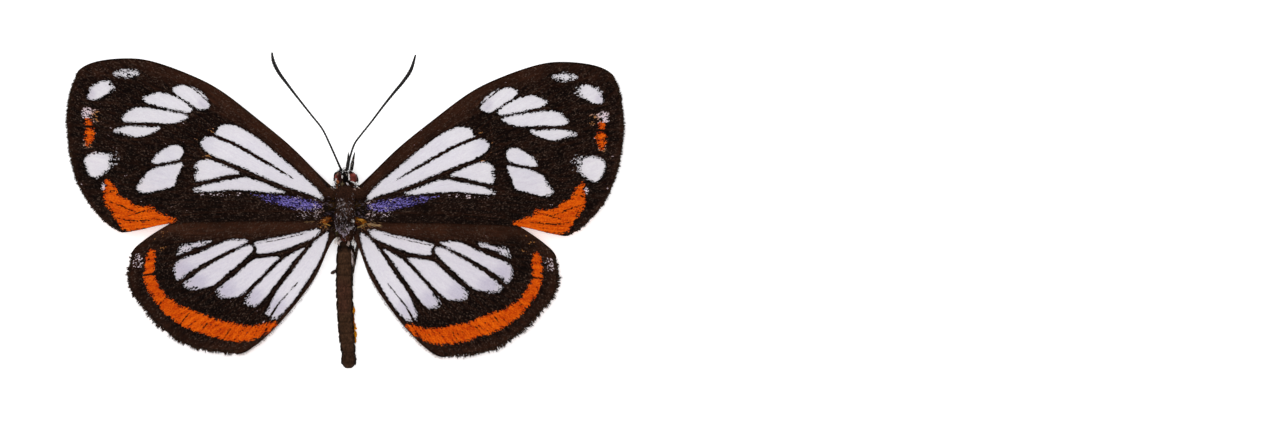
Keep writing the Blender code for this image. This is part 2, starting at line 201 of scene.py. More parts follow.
FOREWING_UPPER_ORANGE = [
    [(-21.25, 7.4), (-20.9, 7.4), (-20.85, 7.0), (-21.22, 7.0)],
    [(-21.22, 6.7), (-20.72, 6.65), (-20.75, 6.0), (-20.95, 5.4), (-21.15, 5.35), (-21.25, 5.9)],
    [(-19.6, 2.52), (-18.96, 1.97), (-18.61, 1.21), (-17.88, 0.83), (-17.24, 0.35), (-16.4, 0.25),
     (-15.7, 0.25), (-15.52, -0.19), (-14.5, -0.54), (-13.93, -0.85), (-14.57, -1.18), (-16.0, -1.5),
     (-17.82, -1.62), (-18.58, -1.15), (-18.96, -0.38), (-19.6, 0.5), (-19.76, 1.27), (-19.6, 2.1)],
]
FOREWING_UNDER_ORANGE = [
    [(-20.3, 8.0), (-20.9, 8.05), (-21.1, 7.8), (-21.4, 7.3), (-21.7, 6.6), (-21.75, 6.0),
     (-21.6, 5.5), (-21.5, 4.9), (-21.2, 4.55), (-20.5, 4.65), (-20.3, 5.0), (-20.3, 6.2),
     (-20.5, 6.8), (-20.2, 7.4)],
    [(-19.0, 2.25), (-19.6, 2.1), (-20.1, 1.5), (-20.1, 0.9), (-19.9, 0.4), (-19.7, -0.3),
     (-19.7, -0.9), (-19.2, -1.5), (-18.5, -1.75), (-17.5, -1.85), (-16.5, -1.7), (-15.5, -1.5),
     (-14.8, -1.1), (-15.2, -0.9), (-15.3, -0.5), (-15.6, -0.05), (-16.5, -0.05), (-17.3, 0.1),
     (-18.0, 0.4), (-18.3, 0.45), (-18.6, 0.9), (-18.8, 1.6)],
]
FOREWING_UPPER_BLUE = [
    (-12.0, 1.45), (-9.0, 1.5), (-7.3, 1.4), (-5.5, 1.38), (-4.0, 1.15), (-2.6, 0.9), (-1.6, 0.55),
    (-1.5, 0.1), (-2.5, -0.15), (-3.3, -0.2), (-4.5, 0.1), (-5.5, 0.3), (-6.5, 0.55), (-7.3, 1.0),
    (-9.0, 1.25), (-12.0, 1.25),
]
FOREWING_VEINS = [
    [(-1.3, 1.6), (-6.0, 5.7), (-11.0, 9.6)],
    [(-1.3, 1.4), (-4.4, 4.0), (-8.4, 6.85), (-11.0, 8.3), (-12.9, 8.78), (-14.0, 9.35),
     (-17.0, 10.5), (-20.5, 11.3)],
    [(-9.5, 7.9), (-11.4, 9.3), (-12.9, 10.25), (-16.0, 11.5)],
    [(-12.2, 7.6), (-13.5, 7.98), (-15.5, 8.38), (-17.0, 8.6), (-21.8, 9.0)],
    [(-12.3, 7.0), (-14.5, 6.95), (-19.0, 7.0), (-22.7, 6.9)],
    [(-12.4, 5.6), (-15.0, 5.9), (-17.0, 5.8), (-22.6, 5.2)],
    [(-12.6, 4.2), (-13.4, 4.02), (-14.7, 3.8), (-16.0, 3.55), (-18.0, 2.6), (-20.9, 0.4)],
    [(-1.76, 0.65), (-4.0, 1.43), (-6.0, 2.21), (-7.9, 3.02), (-10.0, 3.94), (-11.64, 4.36)],
    [(-8.7, 2.95), (-10.72, 2.49), (-12.4, 2.07), (-13.5, 1.6), (-16.0, 1.2), (-18.5, 0.4),
     (-19.7, -0.6)],
    [(-11.6, 4.5), (-12.1, 5.4), (-12.0, 6.4), (-11.9, 7.3)],
    [(-1.3, -0.3), (-6.0, -0.1), (-12.0, -0.3), (-17.5, -1.2)],
]

# Clear windows of the hindwing, front row first
HINDWING_WINDOWS = [
    [(-13.83, -3.74), (-13.42, -2.97), (-12.5, -2.7), (-10.96, -2.46), (-11.27, -2.78), (-12.5, -3.18)],
    [(-14.04, -4.8), (-13.62, -4.1), (-11.78, -3.38), (-9.94, -2.56), (-9.0, -2.36), (-7.89, -2.56),
     (-9.53, -3.38), (-11.47, -4.35), (-12.91, -5.23), (-13.7, -5.8), (-13.98, -5.43)],
    [(-7.48, -3.18), (-7.99, -2.84), (-9.53, -3.59), (-11.37, -4.61), (-12.6, -5.45), (-13.3, -6.15),
     (-12.7, -6.5), (-11.47, -6.4), (-10.6, -6.05), (-9.63, -5.23), (-8.19, -4.0)],
    [(-7.46, -2.66), (-6.35, -2.36), (-4.3, -1.95), (-2.46, -1.54), (-2.0, -1.7), (-2.56, -2.31),
     (-3.79, -2.82), (-5.33, -3.38), (-6.4, -3.55), (-7.25, -3.59), (-7.32, -3.07)],
    [(-5.33, -3.79), (-7.07, -3.94), (-7.7, -4.15), (-8.81, -5.12), (-10.2, -6.2), (-10.55, -6.71),
     (-10.1, -7.17), (-9.3, -7.22), (-8.6, -7.02), (-7.37, -5.94), (-5.94, -4.51)],
    [(-3.27, -3.07), (-4.71, -3.74), (-5.84, -4.71), (-7.27, -6.15), (-8.2, -7.3), (-8.05, -7.75),
     (-7.37, -7.89), (-6.6, -7.3), (-5.12, -5.43), (-4.1, -4.1)],
    [(-1.33, -1.84), (-2.05, -2.15), (-2.87, -2.97), (-4.3, -4.92), (-5.63, -6.66), (-6.4, -8.2),
     (-6.4, -8.7), (-5.99, -8.92), (-5.33, -8.76), (-3.99, -7.17), (-2.76, -5.33), (-1.79, -3.59)],
]
HINDWING_UNDER_WINDOWS = [
    [(-13.6, -3.3), (-12.8, -2.6), (-11.5, -2.4), (-10.4, -2.7), (-11.4, -3.15), (-12.7, -3.68)],
]
HINDWING_SOFT_SPOTS = [
    (-13.2, -3.2, 0.9, 0.3), (-11.5, -2.75, 0.8, 0.18), (-13.6, -5.0, 1.0, 0.24), (-12.7, -6.2, 1.0, 0.3),
    (-10.2, -6.8, 0.9, 0.3), (-7.9, -7.4, 0.9, 0.34), (-5.9, -8.5, 0.9, 0.25), (-2.3, -1.7, 0.8, 0.15),
    (-8.8, -2.5, 0.8, 0.15),
]
# Lilac bloom at the windows' outer ends: x, y, radius, strength
HINDWING_BLOOM = [
    (-13.3, -5.0, 1.2, 1.0), (-12.2, -6.0, 1.2, 1.0), (-9.7, -6.6, 1.2, 1.0), (-7.6, -7.2, 1.2, 1.0),
    (-5.6, -8.0, 1.2, 1.0), (-12.5, -2.9, 0.9, 0.6),
]
HINDWING_LINES = [
    [(-14.3, -4.1, 0.09), (-12.7, -3.48, 0.08), (-9.94, -2.46, 0.07)],
    [(-3.2, -1.9, 0.02), (-5.3, -2.4, 0.03), (-7.2, -2.75, 0.02)],
    [(-3.9, -5.95, 0.03), (-4.81, -6.97, 0.05), (-5.53, -7.79, 0.07), (-6.15, -8.81, 0.1)],
]
HINDWING_UPPER_LINES = HINDWING_LINES + [
    [(-15.4, -5.2, 0.09), (-16.5, -5.35, 0.05)],
    [(-14.6, -7.1, 0.05), (-15.3, -7.8, 0.03)],
    [(-12.8, -8.5, 0.05), (-13.5, -9.3, 0.03)],
    [(-11.3, -9.3, 0.05), (-12.0, -10.1, 0.03)],
    [(-9.4, -9.7, 0.05), (-9.9, -10.5, 0.03)],
    [(-6.4, -9.7, 0.06), (-7.1, -10.8, 0.04)],
]
HINDWING_UNDER_LINES = HINDWING_LINES + [
    [(-15.3, -5.6, 0.02), (-16.7, -6.0, 0.05)],
    [(-14.5, -7.0, 0.02), (-15.6, -8.0, 0.05)],
    [(-12.9, -8.2, 0.02), (-13.8, -9.3, 0.05)],
    [(-11.2, -8.8, 0.02), (-12.0, -10.1, 0.05)],
    [(-9.4, -9.4, 0.02), (-10.0, -10.8, 0.05)],
    [(-7.4, -9.6, 0.02), (-8.1, -10.8, 0.05)],
    [(-5.8, -9.2, 0.02), (-6.4, -10.2, 0.05)],
    [(-9.5, -0.7, 0.06), (-11.5, -0.75, 0.07), (-13.5, -1.3, 0.07), (-14.5, -1.9, 0.04)],
]
HINDWING_UPPER_ORANGE = [
    [(-16.39, -5.02), (-16.49, -5.53), (-15.88, -7.07), (-14.65, -8.5), (-13.01, -9.63),
     (-11.06, -10.3), (-8.71, -10.76), (-6.86, -10.35), (-5.63, -9.38), (-6.04, -9.27), (-7.58, -9.53),
     (-9.73, -9.22), (-11.27, -8.76), (-12.3, -8.3), (-13.62, -7.84), (-14.96, -6.76),
     (-15.67, -5.43), (-15.73, -4.92), (-15.62, -4.1), (-15.73, -3.38), (-16.0, -3.28),
     (-16.24, -3.79), (-16.44, -4.51)],
]
HINDWING_UNDER_ORANGE = [
    [(-2.9, -0.6), (-4.0, -0.5), (-6.0, -0.55), (-8.0, -0.25), (-10.0, -0.05), (-11.5, -0.05),
     (-13.0, -0.4), (-14.3, -1.1), (-15.5, -2.0), (-16.4, -3.0), (-16.8, -3.6), (-16.9, -4.8),
     (-16.85, -5.8), (-16.5, -6.8), (-15.8, -8.0), (-14.7, -8.9), (-13.6, -9.5), (-12.4, -10.0),
     (-11.2, -10.6), (-9.8, -10.95), (-8.6, -11.0), (-7.6, -10.9), (-7.2, -10.7), (-6.4, -10.3),
     (-5.6, -9.5), (-5.0, -8.8), (-4.8, -8.5), (-5.5, -8.9), (-6.6, -9.4), (-7.5, -9.5),
     (-8.3, -9.5), (-9.5, -9.15), (-10.5, -8.9), (-11.5, -8.5), (-12.4, -8.1), (-13.1, -7.9),
     (-14.2, -7.1), (-14.9, -6.4), (-15.2, -5.6), (-15.4, -5.0), (-15.3, -4.4), (-15.0, -3.7),
     (-14.7, -3.0), (-14.0, -2.6), (-13.3, -2.4), (-12.9, -1.95), (-12.0, -1.8), (-10.5, -1.7),
     (-9.4, -1.5), (-8.6, -1.3), (-7.5, -1.15), (-6.4, -1.2), (-5.0, -1.35), (-4.0, -1.1),
     (-3.3, -0.95)],
]
HINDWING_UNDER_OCHRE = [
    [(-1.1, -1.5), (-1.3, -0.8), (-1.9, 0.5), (-3.0, 0.65), (-6.0, 0.6), (-9.2, 0.35), (-9.0, 0.1),
     (-7.0, -0.1), (-5.0, -0.2), (-3.2, -0.35), (-2.3, -0.75), (-1.8, -1.3)],
]
HINDWING_VEINS = [
    [(-15.6, -4.5), (-14.04, -3.95), (-12.7, -3.48), (-9.94, -2.46)],
    [(-13.52, -5.94), (-10.45, -4.0), (-7.78, -2.61)],
    [(-10.86, -6.46), (-8.91, -4.92), (-7.48, -3.74)],
    [(-7.73, -2.56), (-7.43, -3.07), (-7.4, -3.69)],
    [(-7.43, -3.74), (-5.12, -3.59), (-3.58, -2.97), (-1.23, -1.54)],
    [(-5.12, -3.69), (-6.76, -5.53), (-8.4, -7.17)],
    [(-3.07, -2.97), (-4.4, -4.92), (-6.04, -7.07), (-6.76, -8.09)],
    [(-1.2, -0.9), (-5.0, -0.45), (-9.5, -0.2), (-14.5, -1.6)],
    [(-7.6, -2.3), (-11.0, -2.2), (-15.5, -3.0)],
]

# Body stations: y, middle x, half width, bottom z, top z, from front to rear
THORAX_STATIONS = [
    (2.0, 0.04, 0.02, 1.68, 1.72), (1.98, 0.04, 0.40, 1.05, 2.35), (1.82, 0.04, 0.72, 0.55, 2.70),
    (1.50, 0.02, 0.92, -0.15, 2.92), (1.00, 0.0, 0.98, -0.15, 3.06), (0.50, 0.0, 1.00, -0.15, 3.12),
    (0.05, 0.0, 1.00, 0.27, 3.14), (-0.50, 0.0, 0.97, 0.32, 3.08), (-1.10, 0.0, 0.92, 0.36, 2.94),
    (-1.70, 0.0, 0.84, 0.62, 2.70), (-2.20, -0.01, 0.70, 0.80, 2.48), (-2.52, -0.02, 0.46, 0.98, 2.22),
    (-2.55, -0.02, 0.02, 1.58, 1.62),
]
ABDOMEN_STATIONS = [
    (-2.58, -0.02, 0.02, 1.58, 1.62), (-2.60, -0.02, 0.34, 1.15, 2.05), (-2.75, -0.02, 0.52, 1.02, 2.20),
    (-3.40, -0.03, 0.62, 0.92, 2.26), (-5.93, -0.08, 0.65, 0.66, 2.10), (-8.34, -0.02, 0.63, 0.36, 1.86),
    (-10.75, 0.14, 0.60, 0.10, 1.58), (-11.70, 0.24, 0.53, 0.04, 1.42), (-12.25, 0.25, 0.62, -0.05, 1.34),
    (-12.70, 0.24, 0.52, -0.05, 1.20), (-12.98, 0.22, 0.26, 0.22, 0.92), (-13.0, 0.22, 0.02, 0.55, 0.59),
]
ABDOMEN_RING_ENDS = (-3.4, -4.4, -5.35, -6.3, -7.3, -8.3, -9.2, -10.1, -10.95, -11.7)
ABDOMEN_RING_DIP = 0.035

# Squareness of the body's sections below and above their middle: 2 is an ellipse
THORAX_POWERS = (1.7, 2.2)
ABDOMEN_POWERS = (2.1, 2.1)
# Height above which the thorax has the colours of its back
THORAX_BACK_Z = 1.7

# Head, rolled so that its left side hangs lower
HEAD_MIDDLE = (0.05, 2.60, 1.78)
HEAD_RADII = (0.36, 0.55, 0.68)
HEAD_ROLL_DEG = -17.0
EYE_RADIUS_Y = 0.54
EYE_RADIUS_Z = 0.56
EYE_BASE_X = 0.42
EYE_DEPTH = 0.56

# Routes along thin parts: x, y, z, radius
LIMB_ROUTES = {
    "antenna_left": [
        (-0.26, 3.18, 2.34, 0.075), (-0.50, 3.75, 2.50, 0.055), (-1.23, 5.40, 2.62, 0.052),
        (-1.85, 6.65, 2.66, 0.050), (-2.75, 7.80, 2.68, 0.052), (-3.81, 9.14, 2.66, 0.060),
        (-4.70, 10.30, 2.60, 0.076), (-5.41, 11.27, 2.52, 0.094), (-5.85, 12.16, 2.42, 0.092),
        (-5.98, 12.94, 2.34, 0.045),
    ],
    "antenna_right": [
        (0.17, 3.20, 2.44, 0.075), (0.42, 4.29, 2.56, 0.055), (0.79, 5.39, 2.64, 0.052),
        (1.32, 6.14, 2.68, 0.050), (2.23, 7.28, 2.70, 0.052), (3.14, 8.49, 2.68, 0.060),
        (4.05, 9.63, 2.62, 0.074), (4.80, 10.54, 2.56, 0.090), (5.42, 11.50, 2.46, 0.094),
        (5.80, 12.74, 2.34, 0.045),
    ],
    "palp_left": [
        (0.12, 3.22, 1.50, 0.11), (0.20, 3.60, 1.62, 0.12), (0.25, 4.15, 1.82, 0.085),
        (0.27, 4.74, 2.0, 0.03),
    ],
    "palp_right": [
        (0.50, 3.24, 1.62, 0.11), (0.56, 3.62, 1.74, 0.12), (0.66, 4.15, 1.90, 0.085),
        (0.80, 4.74, 2.06, 0.03),
    ],
    "midleg_left": [
        (-1.03, 1.20, 0.72, 0.10), (-0.92, 0.85, 0.34, 0.11), (-0.62, 0.38, 0.13, 0.12),
        (-0.14, -0.45, 0.12, 0.12), (-0.04, -1.30, 0.12, 0.11), (0.02, -2.10, 0.12, 0.10),
        (0.26, -3.20, 0.12, 0.10), (0.30, -4.60, 0.12, 0.10), (0.20, -6.00, 0.12, 0.10),
        (0.17, -6.72, 0.12, 0.07),
    ],
    "midleg_right": [
        (1.03, 1.15, 0.72, 0.10), (0.92, 0.80, 0.34, 0.11), (0.62, 0.30, 0.13, 0.12),
        (0.24, -0.50, 0.12, 0.12), (0.25, -1.30, 0.13, 0.11), (0.28, -2.00, 0.22, 0.10),
        (0.22, -2.90, 0.42, 0.10), (0.04, -3.80, 0.44, 0.10), (-0.14, -4.32, 0.36, 0.11),
        (-0.62, -4.84, 0.26, 0.13), (-1.24, -5.23, 0.14, 0.13),
    ],
    "hindleg_left": [
        (-1.17, 0.05, 0.90, 0.10), (-0.98, -0.50, 0.46, 0.12), (-0.62, -1.20, 0.25, 0.12),
        (-0.36, -1.95, 0.34, 0.11), (-0.14, -2.70, 0.52, 0.10), (-0.12, -3.50, 0.62, 0.08),
    ],
    "hindleg_right": [
        (1.12, -1.45, 1.0, 0.10), (1.06, -2.10, 0.72, 0.12), (0.98, -2.90, 0.42, 0.12),
        (0.80, -3.80, 0.20, 0.11), (0.58, -4.90, 0.12, 0.10), (0.46, -6.00, 0.12, 0.10),
        (0.43, -6.50, 0.12, 0.07),
    ],
}

# Patches of body hair colour seen from above: x, y, radius, colour, share of hairs
BACK_PATCHES = [
    (-0.1, 0.0, 0.95, "#0c0908", 0.55), (0.0, -1.1, 0.8, "#0c0908", 0.5),
    (-0.75, 0.1, 0.5, "#241a10", 0.5), (-0.8, 1.3, 0.16, "#b8acaa", 0.8),
    (0.65, 1.3, 0.18, "#b8acaa", 0.8), (-0.1, 0.75, 0.35, "#6f6462", 0.3),
    (-0.15, 0.2, 0.85, "#a89a9a", 0.08), (0.0, 0.1, 0.95, "#5a4a44", 0.2),
    (-0.1, -0.6, 0.9, "#8a7c80", 0.1), (-0.3, 0.25, 0.25, "#cfc4c8", 0.25),
    (-0.1, -0.5, 0.4, "#d0c6ca", 0.2), (-0.85, -0.5, 0.3, "#3a3040", 0.4),
    (0.0, 0.0, 1.2, "#3c2418", 0.35), (-0.1, -1.5, 0.6, "#8c8088", 0.25),
    (0.1, -1.7, 0.5, "#5a4a34", 0.3), (-0.5, -1.55, 0.2, "#a898a8", 0.55),
    (-0.25, -1.8, 0.2, "#b0a0b0", 0.5), (-0.05, -2.0, 0.17, "#cbbccb", 0.6),
    (0.1, -1.85, 0.18, "#b0a0b4", 0.5), (0.3, -1.6, 0.2, "#cdbecd", 0.65),
    (0.45, -1.4, 0.16, "#d8cfd4", 0.75), (-0.05, -2.45, 0.45, "#5a3024", 0.7),
    (0.3, -2.3, 0.35, "#452a1c", 0.7), (-0.7, -1.75, 0.25, "#4a4426", 0.5),
    (-0.65, -2.35, 0.28, "#e0cfc6", 0.8), (-0.4, -2.55, 0.22, "#d8c0b8", 0.7),
    (0.7, -2.4, 0.16, "#e4dcd8", 0.8), (0.62, -0.85, 0.13, "#e8dfda", 0.9),
    (-0.65, 2.0, 0.25, "#7a4426", 0.6), (0.8, 1.8, 0.3, "#7a4a34", 0.6),
]
# Patches of body hair colour seen from below
BELLY_PATCHES = [
    (-0.05, 1.0, 0.6, "#f2f2f4", 1.0), (-0.03, 0.6, 0.5, "#f2f2f4", 1.0),
    (0.0, 0.15, 0.36, "#f0f0f2", 1.0), (0.03, -0.25, 0.24, "#eae8ea", 1.0),
    (1.05, 1.2, 0.4, "#e4dcd8", 0.85), (1.05, 0.5, 0.4, "#e4dcd8", 0.85),
    (1.0, -0.2, 0.35, "#d8d0d4", 0.85), (0.95, -0.9, 0.35, "#e4dce0", 0.85),
    (0.85, -1.6, 0.35, "#ece8ec", 0.85), (0.75, -2.2, 0.3, "#ece8ec", 0.8),
    (0.4, -1.2, 0.25, "#d8d0ce", 0.7), (-1.1, 1.0, 0.35, "#e4dcd8", 0.8),
    (-0.6, 0.3, 0.25, "#d8ccc4", 0.6), (-0.85, -0.9, 0.25, "#d8d0cc", 0.55),
    (-0.45, -1.5, 0.2, "#d8d0cc", 0.5), (0.0, 1.55, 0.5, "#0e0b0c", 0.95),
    (-0.7, -1.8, 0.35, "#2a1810", 0.7),
]
# Patches of the head's scales seen from above
HEAD_PATCHES = [
    (0.0, 2.9, 0.5, "#0a0808", 0.8), (-0.2, 2.75, 0.12, "#e8e0dc", 0.8),
    (0.15, 2.9, 0.12, "#a89c94", 0.6), (-0.2, 2.2, 0.2, "#6a5a40", 0.5),
    (0.15, 2.4, 0.25, "#1a1e14", 0.6),
]
# Locks of longer hair seen from above: start x, y, end x, y, height, spread, number and colour
BACK_LOCKS = [
    (-0.8, 1.45, -1.4, 1.65, 2.62, 0.25, 260, "#4a2f22"),
    (0.8, 1.4, 1.4, 1.6, 2.62, 0.25, 260, "#4a2f22"), (-0.9, 1.1, -1.6, 1.3, 2.6, 0.3, 200, "#40281c"),
    (0.9, 1.1, 1.6, 1.3, 2.6, 0.3, 200, "#40281c"), (-0.55, 1.75, -0.6, 2.2, 2.3, 0.3, 200, "#3a241a"),
    (0.0, 1.8, 0.0, 2.3, 2.4, 0.3, 240, "#2c1b14"), (0.55, 1.75, 0.7, 2.15, 2.35, 0.3, 220, "#38201a"),
    (-0.2, 1.6, -0.2, 1.2, 2.95, 0.5, 260, "#4c3024"), (0.4, 1.6, 0.4, 1.2, 2.95, 0.5, 260, "#4c3024"),
    (-0.85, 0.7, -1.7, 0.85, 2.6, 0.3, 200, "#251610"), (0.85, 0.7, 1.7, 0.85, 2.6, 0.3, 200, "#251610"),
    (-0.85, 0.1, -1.7, 0.15, 2.6, 0.3, 200, "#221812"), (0.85, 0.1, 1.7, 0.15, 2.6, 0.3, 200, "#221812"),
    (-0.9, 0.4, -1.7, 0.45, 2.62, 0.45, 30, "#6f6068"), (0.9, 0.3, 1.7, 0.4, 2.62, 0.45, 30, "#6f6068"),
    (-0.8, 0.5, -1.3, 0.3, 2.64, 0.4, 60, "#4a3418"), (0.8, 0.5, 1.3, 0.4, 2.64, 0.4, 60, "#4a3418"),
    (-0.9, -0.3, -1.7, -0.35, 2.55, 0.25, 170, "#1c1210"),
    (0.9, -0.3, 1.7, -0.35, 2.55, 0.25, 170, "#1c1210"),
    (-0.9, -0.25, -1.6, -0.3, 2.58, 0.3, 20, "#6a5c6c"),
    (0.95, -0.1, 1.6, -0.5, 2.58, 0.3, 24, "#74646e"),
    (-1.15, -0.65, -1.75, -0.95, 2.5, 0.2, 110, "#a8581a"),
    (-1.25, -0.7, -1.7, -0.85, 2.55, 0.12, 60, "#e0924a"),
    (-1.1, -0.7, -1.6, -0.8, 2.58, 0.22, 50, "#3a1c10"), (0.9, -0.8, 1.6, -1.0, 2.5, 0.2, 110, "#b0681a"),
    (1.0, -0.78, 1.5, -0.9, 2.55, 0.12, 60, "#e8a440"),
    (0.95, -0.8, 1.4, -1.0, 2.58, 0.22, 50, "#3a1c10"), (0.8, -1.0, 1.3, -1.1, 2.45, 0.16, 80, "#4a1e10"),
    (-1.7, -0.8, -2.5, -0.82, 2.1, 0.05, 50, "#a08058"),
    (-2.3, -0.86, -3.4, -0.95, 2.1, 0.05, 50, "#947250"),
    (-1.2, -1.3, -1.75, -1.05, 2.3, 0.04, 40, "#c09048"),
    (1.4, -0.7, 2.4, -0.95, 2.4, 0.04, 40, "#b8946c"), (2.2, -0.92, 3.3, -1.0, 2.1, 0.05, 40, "#947250"),
    (0.95, -1.5, 1.7, -1.12, 2.3, 0.05, 50, "#a08050"),
    (1.7, -1.12, 3.0, -1.28, 2.2, 0.05, 60, "#b8946c"),
    (-0.85, 1.6, -1.15, 1.85, 2.6, 0.05, 40, "#b8a89c"),
    (-0.95, 1.95, -1.3, 1.85, 2.55, 0.05, 50, "#0c0909"), (0.7, 1.75, 1.0, 1.6, 2.6, 0.08, 40, "#c8a89c"),
    (1.0, 2.0, 1.3, 1.95, 2.6, 0.05, 50, "#0c0909"), (1.05, 1.9, 1.25, 1.75, 2.62, 0.04, 20, "#d8bcae"),
    (-0.6, -2.25, -0.85, -2.75, 2.2, 0.1, 70, "#efe6e0"),
    (-0.45, -2.5, -0.6, -2.9, 2.2, 0.1, 60, "#e6d6ce"),
    (0.62, -2.2, 0.72, -2.9, 2.1, 0.06, 60, "#f0eae6"),
    (0.3, -2.55, 0.25, -2.9, 2.25, 0.12, 50, "#cdb8ae"),
]
# Locks along the abdomen
ABDOMEN_LOCKS = [
    (0.65, -8.0, 0.7, -8.4, 1.15, 0.08, 150, "#f09a0c"),
    (0.62, -8.5, 0.68, -9.4, 1.1, 0.05, 130, "#c06410"),
    (0.7, -9.35, 0.78, -9.8, 0.95, 0.1, 190, "#f09a0c"),
    (0.76, -9.9, 0.84, -10.4, 0.9, 0.1, 210, "#f0a214"),
    (0.76, -10.4, 0.82, -10.9, 0.85, 0.08, 150, "#e0900c"),
    (0.48, -3.2, 0.6, -4.4, 1.95, 0.05, 60, "#d8c4c0"), (0.3, -2.9, 0.3, -3.2, 2.2, 0.2, 60, "#100c0a"),
    (-0.3, -2.9, -0.3, -3.2, 2.2, 0.2, 60, "#100c0a"),
]
# Locks seen from below: along the sides of the thorax, round its front and under the head
BELLY_LOCKS = [
    (1.06, 1.65, 1.12, 0.2, 0.75, 0.1, 220, "#f0e8e6"), (1.1, 0.3, 0.98, -1.4, 0.75, 0.1, 240, "#e8e0e0"),
    (0.95, -1.2, 0.72, -2.8, 0.8, 0.1, 180, "#f2eef0"),
    (-1.12, 1.5, -1.15, 0.4, 0.75, 0.1, 170, "#e8e0dc"),
    (-1.1, 0.2, -0.75, -1.2, 0.5, 0.08, 130, "#d8d0cc"),
    (-0.85, -1.0, -0.5, -2.0, 0.5, 0.08, 90, "#cfc4bc"),
    (-1.15, 1.8, -1.45, 1.4, 1.3, 0.1, 60, "#c8bcb8"), (0.75, 1.2, 0.5, -0.9, 0.35, 0.08, 110, "#6a4428"),
    (-0.8, 1.2, -0.35, -0.6, 0.35, 0.08, 110, "#5a3822"),
    (0.3, -0.4, 0.2, -2.2, 0.3, 0.14, 160, "#5a3420"),
    (-0.3, -0.5, -0.75, -2.3, 0.35, 0.12, 140, "#4a2c1a"),
    (0.55, 0.6, 0.35, -0.8, 0.32, 0.06, 60, "#cfc4c0"),
    (-0.3, -2.5, -0.55, -4.4, 0.45, 0.16, 170, "#dcd4d4"),
    (0.3, -2.4, 0.45, -3.4, 0.45, 0.1, 70, "#3a2014"), (-0.2, 1.92, -0.5, 1.7, 0.5, 0.05, 60, "#f4f0ee"),
    (-0.45, 1.68, -1.05, 1.62, 0.5, 0.05, 90, "#f4f0ee"),
    (0.95, 1.88, 0.5, 1.72, 0.5, 0.05, 80, "#ece8e6"), (0.1, 1.5, 0.08, 3.2, 0.98, 0.06, 220, "#e8e4e4"),
    (0.35, 1.4, 0.4, 3.3, 0.98, 0.08, 220, "#0e0b0c"), (0.5, 1.5, 0.52, 3.0, 1.0, 0.04, 90, "#b8b0b0"),
    (0.2, 1.5, 0.22, 3.2, 0.99, 0.05, 120, "#1a1616"),
    (0.55, -7.6, 0.62, -8.9, 0.28, 0.04, 110, "#1c1008"),
    (0.62, -9.1, 0.72, -10.0, 0.28, 0.04, 80, "#1c1008"),
    (0.66, -10.2, 0.6, -11.6, 0.28, 0.05, 110, "#24160c"),
    (-0.4, -8.2, -0.38, -9.9, 0.28, 0.03, 120, "#140b06"),
    (-0.3, -10.1, -0.34, -11.4, 0.28, 0.05, 80, "#1c1008"),
    (-0.55, -5.0, -0.6, -8.0, 0.42, 0.06, 200, "#c8781c"),
    (-0.5, -8.6, -0.52, -10.2, 0.42, 0.06, 130, "#b8722a"),
    (0.95, -2.8, 0.76, -4.0, 0.3, 0.08, 160, "#1c100a"),
    (0.76, -3.9, 0.52, -5.4, 0.14, 0.08, 160, "#38200f"),
    (0.52, -5.3, 0.43, -6.5, 0.12, 0.08, 160, "#241208"),
    (0.24, -3.2, 0.3, -4.6, 0.12, 0.07, 120, "#4a2c18"),
    (0.3, -4.6, 0.18, -6.6, 0.12, 0.06, 140, "#4a2c18"),
    (-0.14, -4.35, -0.62, -4.84, 0.28, 0.07, 110, "#20120a"),
    (-0.6, -4.82, -1.2, -5.2, 0.16, 0.07, 130, "#1a0e08"),
    (0.6, -2.9, 0.5, -4.2, 0.35, 0.12, 120, "#4a2c1a"), (0.1, -1.6, 0.1, -3.0, 0.2, 0.16, 140, "#5a3a22"),
]
# Locks on the head; the two black locks low at the eyes' outer sides, from (0.95, 2.95) and (-0.8, 3.05),
# are dark hair put there as painted shade at the eyes' rims
HEAD_LOCKS = [
    (-0.70, 2.6, -0.74, 2.3, 2.3, 0.03, 50, "#f4efec"), (-0.6, 2.4, -0.6, 2.1, 2.3, 0.09, 90, "#d88a54"),
    (-0.62, 2.1, -0.68, 1.85, 2.3, 0.08, 60, "#e0a47e"),
    (-0.6, 3.05, -0.6, 2.8, 2.3, 0.08, 40, "#8a6a5a"),
    (-0.24, 2.85, -0.22, 2.62, 2.45, 0.03, 30, "#f0e8e4"),
    (-0.2, 2.3, -0.2, 2.0, 2.45, 0.1, 50, "#8a7a5c"), (0.32, 3.0, 0.36, 2.45, 2.55, 0.03, 80, "#f4efec"),
    (0.38, 2.42, 0.85, 2.18, 2.4, 0.03, 90, "#f6f2f0"), (0.95, 2.95, 1.04, 2.3, 1.9, 0.04, 90, "#0a0606"),
    (-0.45, 2.9, -0.45, 2.5, 2.35, 0.12, 90, "#3a1a16"),
    (-0.3, 2.2, -0.3, 1.95, 2.4, 0.15, 90, "#3a2a1c"), (0.5, 2.2, 0.6, 1.95, 2.4, 0.15, 110, "#2c1a12"),
    (0.1, 2.25, 0.35, 2.05, 2.5, 0.04, 40, "#efe6ea"), (0.0, 3.1, 0.0, 3.35, 2.3, 0.2, 90, "#0a0808"),
    (-0.3, 3.05, -0.35, 3.2, 2.3, 0.2, 90, "#171011"), (0.35, 3.0, 0.5, 3.15, 2.3, 0.2, 90, "#2a1212"),
    (0.0, 2.9, 0.05, 2.3, 2.5, 0.18, 160, "#0e0b09"), (-0.85, 3.0, -0.5, 3.15, 2.0, 0.06, 60, "#120a08"),
    (0.2, 2.6, 0.45, 2.15, 2.45, 0.06, 50, "#0c0a08"), (-0.8, 3.05, -0.9, 2.4, 1.75, 0.06, 90, "#060505"),
]

# The coats that are made of locks
LOCK_COATS = (
    ("coat_back", BACK_LOCKS), ("coat_head", HEAD_LOCKS), ("coat_sides", ABDOMEN_LOCKS),
    ("coat_belly", BELLY_LOCKS),
)
# Share of broad pale scales among the hairs of the back, and the number of hairs on the abdomen
SPECK_SHARE = 0.07
ABDOMEN_HAIRS = 3400


